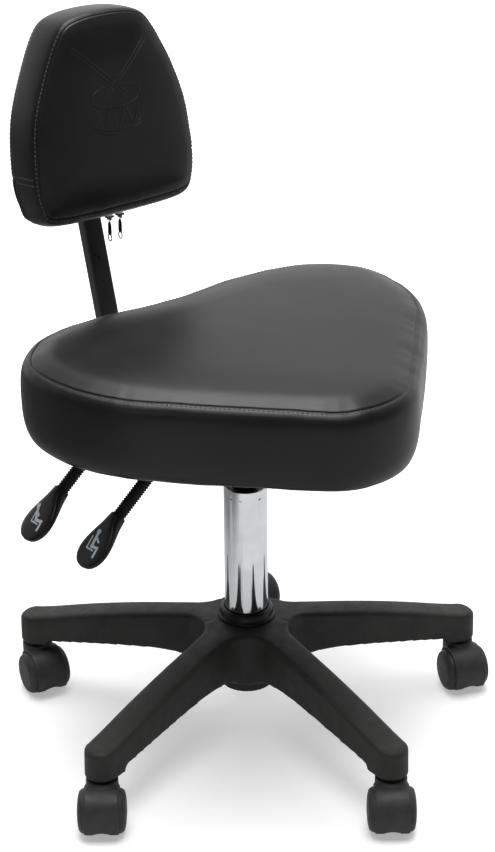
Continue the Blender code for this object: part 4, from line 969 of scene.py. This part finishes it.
def make_leg():
    stations = np.array(LEG_STATIONS)
    sections = []
    for s in np.linspace(stations[0, 0], LEG_PITCH, 56):
        low = np.interp(s, stations[:, 0], stations[:, 1])
        high = curve_value(stations[:, 0], stations[:, 2], s)
        edge = np.interp(s, (0.03, 0.09, 0.25, 0.268), (0.003, LEG_EDGE, LEG_EDGE, 0.0065))
        if s > 0.2495:
            low = LEG_BOTTOM
        sections.append(leg_section(s, leg_half_width(s), low, high, edge))
    top = stations[-1, 2]
    for degrees in (12, 24, 36, 48, 58, 67, 75, 82, 87):
        angle = radians(degrees)
        drop = 0.0075 * (1.0 - cos(angle)) ** 1.4
        sections.append(leg_section(LEG_PITCH + LEG_HALF * sin(angle),
                                    LEG_HALF * cos(angle), LEG_BOTTOM, top - drop, 0.0065))
    return loft("leg", sections)


def curve_value(xs, ys, x):
    """A smooth curve's height between stations."""
    i = int(np.clip(np.searchsorted(xs, x) - 1, 0, len(xs) - 2))
    slopes = np.gradient(ys, xs)
    h = xs[i + 1] - xs[i]
    t = (x - xs[i]) / h
    return ((2 * t ** 3 - 3 * t ** 2 + 1) * ys[i] + (t ** 3 - 2 * t ** 2 + t) * h * slopes[i]
            + (3 * t ** 2 - 2 * t ** 3) * ys[i + 1] + (t ** 3 - t ** 2) * h * slopes[i + 1])


def make_base():
    hub = turned("star_base_moulding", (
        (0.0, HUB_TOP + 0.0004), (0.036, HUB_TOP + 0.0004), (0.0475, HUB_TOP - 0.0022),
        (0.053, HUB_TOP - 0.01), (0.0538, 0.073), (0.032, 0.071), (0.0315, HUB_BOTTOM),
        (0.0, HUB_BOTTOM)), radius=0.002)
    leg = make_leg()
    bm = bmesh.new()
    for near, far, roof in LEG_CELLS:
        add_box(bm, (-LEG_HALF + 0.0032, near, 0.04), (LEG_HALF - 0.0032, far, roof))
    cells = from_bmesh("cells", bm)
    for operation, obj in (("UNION", leg), ("DIFFERENCE", cells)):
        boolean(hub, operation, [
            copy_of(obj, "tool", Matrix.Rotation(-radians(FIRST_LEG + LEG_STEP * k), 4, "Z"))
            for k in range(LEG_COUNT)])
        remove(obj)
    places = [heading(FIRST_LEG + LEG_STEP * k) * LEG_PITCH for k in range(LEG_COUNT)]
    tools = [bar("socket", 0.0062, p + Vector((0, 0, 0.04)), p + Vector((0, 0, 0.0862)))
             for p in places]
    tools.append(bar("bore", TUBE_RADIUS + 0.0006, (0, 0, 0.03), (0, 0, 0.2), 96))
    boolean(hub, "DIFFERENCE", tools)
    moulded(hub, 0.0017, 5)
    give(hub, "base_nylon", "base", ("star_base",))

    collar = turned("column_ring", (
        (0.0256, 0.1498), (0.0272, 0.1502), (0.0296, 0.1492), (0.0306, 0.1462), (0.0312, 0.142),
        (0.033, 0.14), (0.0334, 0.1376), (0.0256, 0.1376)), radius=0.0009, ring=True)
    give(collar, "black_plastic", "base", ("column_collar",))


def make_hood():
    """The hood over both wheels, its middle wall and the neck that turns on the stem."""
    y, z = CASTER_TRAIL, WHEEL_RADIUS
    hood = turned("hood", ((0.0, -HOOD_HALF), (HOOD_RADIUS, -HOOD_HALF),
                           (HOOD_RADIUS + 0.0003, 0.0), (HOOD_RADIUS, HOOD_HALF),
                           (0.0, HOOD_HALF)), 80, 0.0022)
    hood.data.transform(Matrix.Translation((0, y, z)) @ Matrix.Rotation(pi / 2, 4, "Y"))
    boolean(hood, "UNION", [bar("neck", NECK_RADIUS, (0, 0, 0.03), (0, 0, HOOD_TOP), 64)])
    tools = [bar("well", WHEEL_RADIUS + 0.001, (side * WEB_HALF, y, z), (side * 0.04, y, z), 64)
             for side in (-1, 1)]
    tools.append(box("front", (-0.04, -0.05, -0.02), (0.04, 0.008, 0.04)))
    tools.append(box("under", (-0.03, 0.0, -0.03), (0.03, 0.06, 0.0085)))
    tools.append(bar("bore", 0.005, (0, 0, 0.033), (0, 0, 0.07), 32))
    boolean(hood, "DIFFERENCE", tools)
    arch = bar("arch", 0.015, (0, y + 0.03, -0.003), (0, y + 0.012, -0.003), 48)
    boolean(hood, "DIFFERENCE", [arch])
    boolean(hood, "UNION", [bar("stub", AXLE_RADIUS, (-0.0236, y, z), (0.0236, y, z), 24)])
    return moulded(hood, 0.0009, 4)


def make_wheel():
    """One wheel: a grooved tread and a domed disc with a thin raised rim, on +Z."""
    inner, reach = WEB_HALF + 0.0009, DISC_REACH
    profile = (
        (0.0, reach), (0.006, reach - 0.0001), (0.015, reach - 0.0009), (0.0186, reach - 0.0016),
        (0.0193, reach - 0.0026), (0.0202, reach - 0.0026), (0.0208, reach - 0.002),
        (0.0228, reach - 0.0034), (0.0243, reach - 0.0058), (WHEEL_RADIUS, reach - 0.0088),
        (WHEEL_RADIUS, inner + 0.0062), (WHEEL_RADIUS - 0.0007, inner + 0.0056),
        (WHEEL_RADIUS - 0.0007, inner + 0.0048), (WHEEL_RADIUS, inner + 0.0042),
        (WHEEL_RADIUS, inner + 0.0008), (WHEEL_RADIUS - 0.001, inner), (0.0215, inner),
        (0.0205, inner + 0.003), (0.008, inner + 0.003), (0.0065, inner),
        (AXLE_RADIUS + 0.0003, inner), (AXLE_RADIUS + 0.0003, 0.0238), (0.0, 0.0238))
    return turned("wheel", profile, 72, 0.0005)


def make_casters():
    hood, wheel = make_hood(), make_wheel()
    for k, degrees in enumerate(CASTER_HEADINGS):
        at = COLUMN + heading(FIRST_LEG + LEG_STEP * k) * LEG_PITCH
        turn = -radians(degrees)
        name = "caster_hood_moulding_%d" % (k + 1)
        give(copy_of(hood, name, Matrix.Identity(4)), "caster_plastic", "caster_%d" % (k + 1),
             ("caster_hood_%d" % (k + 1),), at, turn)
        for side, word in ((-1, "left"), (1, "right")):
            place = Matrix.Translation((0, CASTER_TRAIL, WHEEL_RADIUS))
            disc = copy_of(wheel, "wheel_%s_moulding_%d" % (word, k + 1),
                           place @ Matrix.Rotation(side * pi / 2, 4, "Y"))
            node = "wheel_%s_%d" % (word, k + 1)
            give(disc, "caster_plastic", node, (node,), at, turn)
    remove(hood, wheel)


# ---------------------------------------------------------------- column

def make_column():
    floor = HUB_BOTTOM + 0.003
    tube = turned("column_tube", (
        (TUBE_RADIUS, TUBE_TOP), (TUBE_RADIUS, HUB_BOTTOM), (0.0055, HUB_BOTTOM),
        (0.0055, floor), (TUBE_BORE, floor), (TUBE_BORE, TUBE_TOP)), 160, 0.0005, ring=True)
    level = Vector((0, 0, TUBE_TOP - CRIMP_DROP))
    dimples = [bar("dimple", CRIMP_RADIUS, out * 0.024 + level, out * 0.027 + level, 20)
               for out in map(heading, CRIMP_ANGLES)]
    boolean(tube, "DIFFERENCE", dimples, 50.0)
    give(tube, "chrome", "base", ("outer_tube",))
    bush = turned("column_bush", (
        (TUBE_BORE - 0.0002, TUBE_TOP - 0.0004), (TUBE_BORE - 0.0002, 0.235), (0.0143, 0.235),
        (0.0143, TUBE_TOP - 0.0022), (0.0165, TUBE_TOP - 0.0006)), radius=0.0006, ring=True)
    give(bush, "black_plastic", "base", ("guide_bush",))
    cylinder = turned("lift_cylinder", (
        (0.0043, CYLINDER_TOP), (0.013, CYLINDER_TOP), (CYLINDER_RADIUS, 0.345),
        (CYLINDER_RADIUS, CYLINDER_BOTTOM), (0.0053, CYLINDER_BOTTOM), (0.0053, 0.128),
        (0.0115, 0.128), (0.0115, 0.338), (0.002, 0.338), (0.002, 0.35), (0.0043, 0.35)),
        radius=0.0007, ring=True)
    give(cylinder, "black_steel", "seat_frame", ("gas_cylinder",))


# ---------------------------------------------------------------- levers

def squared(value, power):
    return copysign(abs(value) ** power, value)


def paddle_sections(start, down):
    """Sections of a teardrop paddle: round at the rod, flat and wide towards its end."""
    along = Vector((-cos(PADDLE_SLOPE), 0.0, -sin(PADDLE_SLOPE)))
    sections = []
    for by, half, thick in curve_through(PADDLE_STATIONS, 60):
        share = min(max((by - 0.002) / 0.012, 0.0), 1.0)
        normal = (down * (1 - share) + along * share).normalized().cross(SIDEWAYS)
        centre = start + down * (min(by, 0.006) - 0.0012) + along * max(by - 0.006, 0.0)
        power = 2.0 / (2.0 + 1.2 * share)
        sections.append([centre + SIDEWAYS * half * squared(cos(t), power)
                         + normal * thick * squared(sin(t), power)
                         for t in (2 * pi * i / 36 for i in range(36))])
    return sections, along


def pictogram_strokes(back_angle):
    """A plain seated figure with a seat line and a backrest line, as (first end, last end, half
    width).
    """
    lean = Vector((sin(back_angle), cos(back_angle)))
    hip = Vector((-0.001, 0.0))
    neck = hip + lean * 0.0105
    head = neck + lean * 0.0032
    knee = hip + Vector((0.007, 0.001))
    foot = knee + Vector((0.001, -0.008))
    hand = neck + Vector((0.0058, -0.0046))
    seat = hip + Vector((-0.0042, -0.0026))
    strokes = ((hip, neck, 0.00125), (hip, knee, 0.00115), (knee, foot, 0.00095),
               (neck - Vector((0, 0.0012)), hand, 0.0008), (head, head, 0.002),
               (seat, hip + Vector((0.004, -0.0026)), 0.0006),
               (seat, hip + Vector((-0.0056, 0.008)), 0.0006))
    return [(first * PICTOGRAM_SIZE, last * PICTOGRAM_SIZE, half * PICTOGRAM_SIZE * 1.15)
            for first, last, half in strokes]


def make_pictogram(name, body, pad, start, along, back_angle):
    """The figure in paint on the paddle's outer face."""
    tree = surface_over(pad)
    outer = SIDEWAYS.cross(along).normalized()
    if outer.x > 0:
        outer = -outer
    strokes = pictogram_strokes(back_angle)
    across = [end.x for stroke in strokes for end in stroke[:2]]
    middle = start + along * 0.042 + SIDEWAYS * ((min(across) + max(across)) / 2.0)
    bm = bmesh.new()
    for number, (first, last, half) in enumerate(strokes):
        span = last - first
        angle = atan2(span.y, span.x) if span.length > 1e-6 else 0.0
        ring = []
        for t in (pi * 2 * k / 24 for k in range(24)):
            end = last if cos(t) >= 0 else first
            ring.append(end + Vector((cos(t + angle), sin(t + angle))) * half)
        corners = []
        for p in ring + [(first + last) / 2]:
            origin = middle - SIDEWAYS * p.x - along * p.y + outer * 0.02
            hit = tree.ray_cast(origin, -outer)
            corners.append(bm.verts.new(hit[0] + outer * (0.00012 + 0.00001 * number)))
        join_rings(bm, [corners[:24], corners[24:]])
    piece = from_bmesh(name, bm, 60.0)
    solid = piece.modifiers.new("thickness", "SOLIDIFY")
    solid.thickness = 0.00025
    solid.offset = 0.0
    apply_modifiers(piece, 60.0)
    give(piece, "pictogram_paint", body)


def make_lever(name, y, inner_y, kink_x, sleeve_length, back_angle):
    down = Vector((-cos(ROD_SLOPE), 0.0, -sin(ROD_SLOPE)))
    kink = Vector((kink_x, y, KINK_Z))
    sleeve_start = kink + down * SLEEVE_GAP
    sleeve_end = sleeve_start + down * sleeve_length
    pivot = Vector((LEVER_PIVOT_X, y, LEVER_PIVOT_Z))
    path = (Vector((0.004, inner_y, 0.3825)), Vector((-0.02, inner_y, 0.3822)),
            Vector((-0.034, y, 0.38)), pivot, Vector((-0.07, y, 0.3745)),
            Vector((kink_x * 0.6 - 0.028, y, 0.3735)), kink + Vector((0.01, 0, 0.003)), kink,
            sleeve_start, sleeve_start + down * 0.02, sleeve_end + down * 0.004)
    rod = rod_along(name + "_bar", path, LEVER_RADIUS)
    hub = turned(name + "_hub", ((0.0023, -0.0058), (0.006, -0.0058), (0.006, 0.0058),
                                 (0.0023, 0.0058)), 48, 0.0004, ring=True)
    hub.data.transform(Matrix.Translation(pivot) @ Matrix.Rotation(pi / 2, 4, "X"))
    hole = bar("hole", 0.0023, pivot - SIDEWAYS * 0.02, pivot + SIDEWAYS * 0.02, 32)
    boolean(rod, "UNION", [hub])
    boolean(rod, "DIFFERENCE", [hole])
    give(rod, "black_steel", name, (name + "_rod",))

    profile = [(LEVER_RADIUS + 0.0002, sleeve_length - 0.0005)]
    ribs = round(sleeve_length / RIB_PITCH)
    pitch = (sleeve_length - 0.001) / ribs
    for k in reversed(range(ribs)):
        base = 0.0002 + k * pitch
        profile += [(0.0062, base + pitch * 0.98), (0.0073, base + pitch * 0.78),
                    (0.0073, base + pitch * 0.34), (0.0062, base + pitch * 0.12)]
    profile.append((LEVER_RADIUS + 0.0002, 0.0))
    sleeve = turned(name + "_grip", profile, 48, 0.0005, ring=True, sharp=70.0)
    sleeve.data.transform(Matrix.Translation(sleeve_start) @ pointing(down))
    give(sleeve, "rubber_black", name, (name + "_sleeve",))

    sections, along = paddle_sections(sleeve_end, down)
    paddle = loft(name + "_plate", sections, sharp=60.0)
    make_pictogram(name + "_pictogram", name, paddle, sleeve_end, along, back_angle)
    give(paddle, "black_plastic", name, (name + "_paddle",))


# ---------------------------------------------------------------- bar and fixings

def bar_path():
    """Centres and angles along the bar: flat, one wide bend up, then parallel to the pad."""
    rise = radians(90.0) - BAR_LEAN
    corner_y = BAR_MARK.y - (BAR_MARK.z - BAR_Z) * tan(BAR_LEAN)
    centre = Vector((0.0, corner_y - BAR_BEND * tan(rise / 2.0), BAR_Z + BAR_BEND))
    path = [(Vector((0.0, BAR_FRONT_Y, BAR_Z)), 0.0)]
    for step in range(19):
        angle = rise * step / 18
        path.append((centre + Vector((0.0, sin(angle), -cos(angle))) * BAR_BEND, angle))
    pad_angle = radians(90.0) - BACK_LEAN
    depth = BAR_BEHIND + BAR_HALF_Y
    start = Vector(back_space((0.0, -0.004), depth))
    lower = start - Vector((0.0, sin(BAR_LEAN), cos(BAR_LEAN))) * 0.016
    upper = Vector(back_space((0.0, 0.012), depth))
    for k in range(9):
        t = k / 8
        point = lower * (1 - t) ** 2 + start * 2 * t * (1 - t) + upper * t * t
        path.append((point, rise + (pad_angle - rise) * t))
    path.append((Vector(back_space((0.0, BAR_TOP), depth)), pad_angle))
    return path


def rounded_section(centre, lean, inset, corner):
    """The bar's cross-section, drawn in by an inset."""
    half_x, half_y = BAR_HALF_X - inset, BAR_HALF_Y - inset
    up = Vector((0.0, -sin(lean), cos(lean)))
    section = []
    for quarter, (sx, sy) in enumerate(((1, 1), (-1, 1), (-1, -1), (1, -1))):
        for step in range(7):
            t = radians(90.0 * (quarter + step / 6))
            x = sx * (half_x - corner) + corner * cos(t)
            y = sy * (half_y - corner) + corner * sin(t)
            section.append(centre + Vector((x, 0, 0)) + up * y)
    return section


def make_upright():
    path = bar_path()
    outer = [rounded_section(c, a, 0.0, 0.003) for c, a in path]
    inner = [rounded_section(c, a, 0.002, 0.0015) for c, a in path]
    upright = loft("bent_bar", outer + inner[::-1], closed=True, sharp=50.0)
    give(upright, "black_steel", "upright", ("upright_bar",))
    top, angle = path[-1]
    direction = Vector((0.0, cos(angle), sin(angle)))
    cap = [rounded_section(top + direction * rise, angle, inset, 0.003 - inset * 0.3)
           for rise, inset in ((-0.01, 0.0024), (0.0002, 0.0024), (0.0002, 0.0001),
                               (0.0014, 0.0003), (0.0021, 0.0012), (0.0023, 0.003))]
    give(loft("bar_plug", cap, sharp=50.0), "black_plastic", "upright")


def make_bolt(name, body, node, place, direction, head_end):
    """A button-head bolt with a hexagonal recess and a short shank of its own, in place of the CAD
    bolt.
    """
    head = turned(name, ((0.0, head_end + 0.0036), (0.0067, head_end + 0.0034),
                         (0.0067, head_end + 0.0022), (0.005, head_end + 0.0004),
                         (0.0, head_end - 0.0002)), 48, 0.0006)
    recess = bar("recess", 0.0023, (0, 0, head_end - 0.002), (0, 0, head_end + 0.0016), 6)
    boolean(head, "DIFFERENCE", [recess])
    shank = bar("shank", 0.0029, (0, 0, head_end + 0.003), (0, 0, head_end + 0.01), 24)
    boolean(head, "UNION", [shank])
    head.data.transform(Matrix.Translation(place) @ pointing(direction))
    give(head, "plain_steel", body, (node,))


def make_fixings():
    for number, (x, y) in enumerate(SEAT_BOLTS, start=1):
        make_bolt("seat_screw_%d" % number, "seat_frame", "seat_bolt_%d" % number,
                  Vector((x, y, SEAT_RISE + SEAT_SLOPE * y)), Vector((0, 0, 1)), 0.3858)
    head = -(BAR_BEHIND + 2.0 * BAR_HALF_Y + 0.0037)
    for number, height in enumerate(BACK_BOLTS, start=1):
        make_bolt("back_screw_%d" % number, "upright", "back_bolt_%d" % number,
                  Vector(back_space((0.0, height), 0.0)), -REARWARD, head)


def make_knob():
    """A five-lobed clamp knob with softened edges and a short stud."""
    profile = softened(((0.6, 0.338), (1.0, 0.338), (1.0, 0.353), (0.45, 0.353)),
                       0.004, False, 6)
    sections = []
    for share, level in profile:
        section = []
        for t in (2 * pi * i / 120 for i in range(120)):
            radius = 0.0152 + 0.0019 * cos(5 * t) - max(1.0 - share, 0.0) * 0.00525
            if share < 0.7:
                radius *= 0.75
            section.append(Vector((radius * cos(t), KNOB_Y + radius * sin(t), level)))
        sections.append(section)
    knob = loft("knob_moulding", sections, sharp=50.0)
    stud = bar("stud", 0.003, (0, KNOB_Y, 0.345), (0, KNOB_Y, 0.3621), 32)
    boolean(knob, "UNION", [stud])
    give(knob, "black_plastic", "clamp_knob", ("clamp_knob",))


def oval_ring(name, centre, half_y, half_z, wire):
    """A closed wire ring in the YZ plane."""
    sections = []
    for t in (2 * pi * i / 40 for i in range(40)):
        out = Vector((0, cos(t), sin(t)))
        middle = centre + Vector((0, out.y * half_y, out.z * half_z))
        sections.append(circle(middle, out * wire, Vector((wire, 0, 0)), 10))
    return loft(name, sections, closed=True, sharp=80.0)


def make_pulls():
    """Zip pulls: a black tab that hangs from the slider's loop, with a bright ring at its end."""
    for word in ("left", "right"):
        node = "zip_pull_" + word
        low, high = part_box(node)
        middle = (low + high) / 2.0 - COLUMN
        hinge = Vector((middle.x, middle.y, high.z - 0.0014))
        sections = []
        for drop, half in PULL_STATIONS:
            thick = 0.0008 if 0.005 < drop < 0.0201 else 0.0004
            sections.append([hinge + Vector((thick * squared(sin(t), 0.5),
                                             half * squared(cos(t), 0.5), -drop))
                             for t in (k * pi / 8 for k in range(16))])
        tab = loft("pull_tab_" + word, sections, sharp=60.0)
        give(tab, "black_plastic", node, (node,))
        for name, drop, *size in (("link", 0.0026, 0.0013, 0.0032, 0.0005),
                                  ("ring", 0.0232, 0.0034, 0.0042, 0.0008)):
            ring = oval_ring("pull_%s_%s" % (name, word), hinge - Vector((0, 0, drop)), *size)
            give(ring, "zip_metal", node)


# ---------------------------------------------------------------- CAD pieces kept as they are

def dress_nodes():
    """Finishes for the CAD pieces that still show, with softened edges where they are rigid."""
    for finish, width, names in KEPT_NODES:
        for name in names:
            node = NODES[name]
            node.data.materials.clear()
            node.data.materials.append(FINISHES[finish])
            node.data.shade_smooth()
            node.modifiers.new("weld", "WELD").merge_threshold = 0.00002
            if not width:
                node.modifiers.new("normals", "WEIGHTED_NORMAL")
                continue
            bevel = node.modifiers.new("edges", "BEVEL")
            bevel.width = width
            bevel.segments = 2
            bevel.limit_method = "ANGLE"
            bevel.angle_limit = radians(40.0)
            bevel.harden_normals = True


# ---------------------------------------------------------------- stage

def make_floor():
    """A pale floor that glows more with distance, so it runs into an even backdrop.

    In glossy reflections it is dimmer, and dimmest on the side where a flag would stand.
    """
    bm = bmesh.new()
    bmesh.ops.create_grid(bm, x_segments=1, y_segments=1, size=12.0)
    floor = from_bmesh("floor", bm)
    paint = Finish("floor", Roughness=0.9, Specular_IOR_Level=0.0)
    paint.tint(("noise", 3.0), (0.99, 0.99, 0.99), (1.0, 1.0, 1.0))
    mirrored = paint.add("LightPath").outputs["Is Glossy Ray"]
    in_gloss = paint.spread(paint.towards(FLAG_SIDE), FLOOR_IN_GLOSS, FLAG_IN_GLOSS, 0.15, 0.7)
    colour = paint.shader.inputs["Base Color"].links[0].from_socket
    dimmed = paint.add("VectorMath", {0: colour, "Scale": paint.spread(
        mirrored, 0.8, in_gloss, 0.0, 1.0)}, operation="SCALE")
    paint.set(paint.shader, "Base Color", dimmed.outputs["Vector"])
    paint.set(paint.shader, "Emission Color", (1.0, 1.0, 1.0, 1.0))
    distance = paint.add("VectorMath", {"Vector": paint.place}, operation="LENGTH")
    glow = paint.spread(distance.outputs["Value"], *FLOOR_GLOW, *FLOOR_REACH)
    strength = paint.add("Math", {0: glow, 1: paint.spread(mirrored, 1.0, in_gloss, 0.0, 1.0)},
                         operation="MULTIPLY")
    paint.set(paint.shader, "Emission Strength", strength.outputs["Value"])
    floor.data.materials.append(paint.material)


def area_light(name, place, target, size, power):
    data = bpy.data.lights.new(name, "AREA")
    data.shape = "RECTANGLE"
    data.size, data.size_y = size
    data.energy = power
    lamp = link(bpy.data.objects.new(name, data))
    lamp.location = place
    lamp.rotation_euler = (Vector(target) - Vector(place)).to_track_quat("-Z", "Y").to_euler()


def make_lights():
    """The room and its softboxes. The camera sees the room white, whatever light it gives."""
    world = bpy.data.worlds.new("studio")
    bpy.context.scene.world = world
    world.use_nodes = True
    room = Nodes(world.node_tree, "Generated")
    glow = room.spread(room.towards(FAR_SIDE), *ROOM_GLOW, -0.2, 0.6)
    direct = room.add("LightPath").outputs["Is Camera Ray"]
    seen = room.add("Math", {0: direct, 1: glow}, operation="MAXIMUM")
    background = room.tree.nodes["Background"]
    room.set(background, "Color", (1.0, 1.0, 1.0, 1.0))
    room.set(background, "Strength", seen.outputs["Value"])
    for light in AREA_LIGHTS:
        area_light(*light)


def make_camera():
    """The photograph's viewpoint."""
    azimuth, pitch, roll = (radians(angle) for angle in CAMERA_ANGLES)
    right = Vector((cos(azimuth), -sin(azimuth), 0.0))
    forward = Vector((sin(azimuth) * cos(pitch), cos(azimuth) * cos(pitch),
                      -sin(pitch)))
    up = right.cross(forward)
    across = right * cos(roll) - up * sin(roll)
    upward = right * sin(roll) + up * cos(roll)
    data = bpy.data.cameras.new("camera")
    data.sensor_fit = "AUTO"
    data.sensor_width = 36.0
    data.lens = CAMERA_LENS
    camera = link(bpy.data.objects.new("camera", data))
    camera.matrix_world = Matrix.Translation(CAMERA_PLACE) @ Matrix(
        (across, upward, -forward)).transposed().to_4x4()
    bpy.context.scene.camera = camera


bpy.context.scene.view_settings.view_transform = "Standard"
make_floor()
make_lights()
make_camera()
make_base()
make_casters()
make_column()
make_lever("height_lever", -0.02, 0.0, -0.1455, 0.055, radians(-8.0))
make_lever("tilt_lever", 0.05, 0.067, -0.1852, 0.035, radians(-32.0))
make_upright()
make_fixings()
make_knob()
make_seat()
make_backrest()
make_pulls()
dress_nodes()
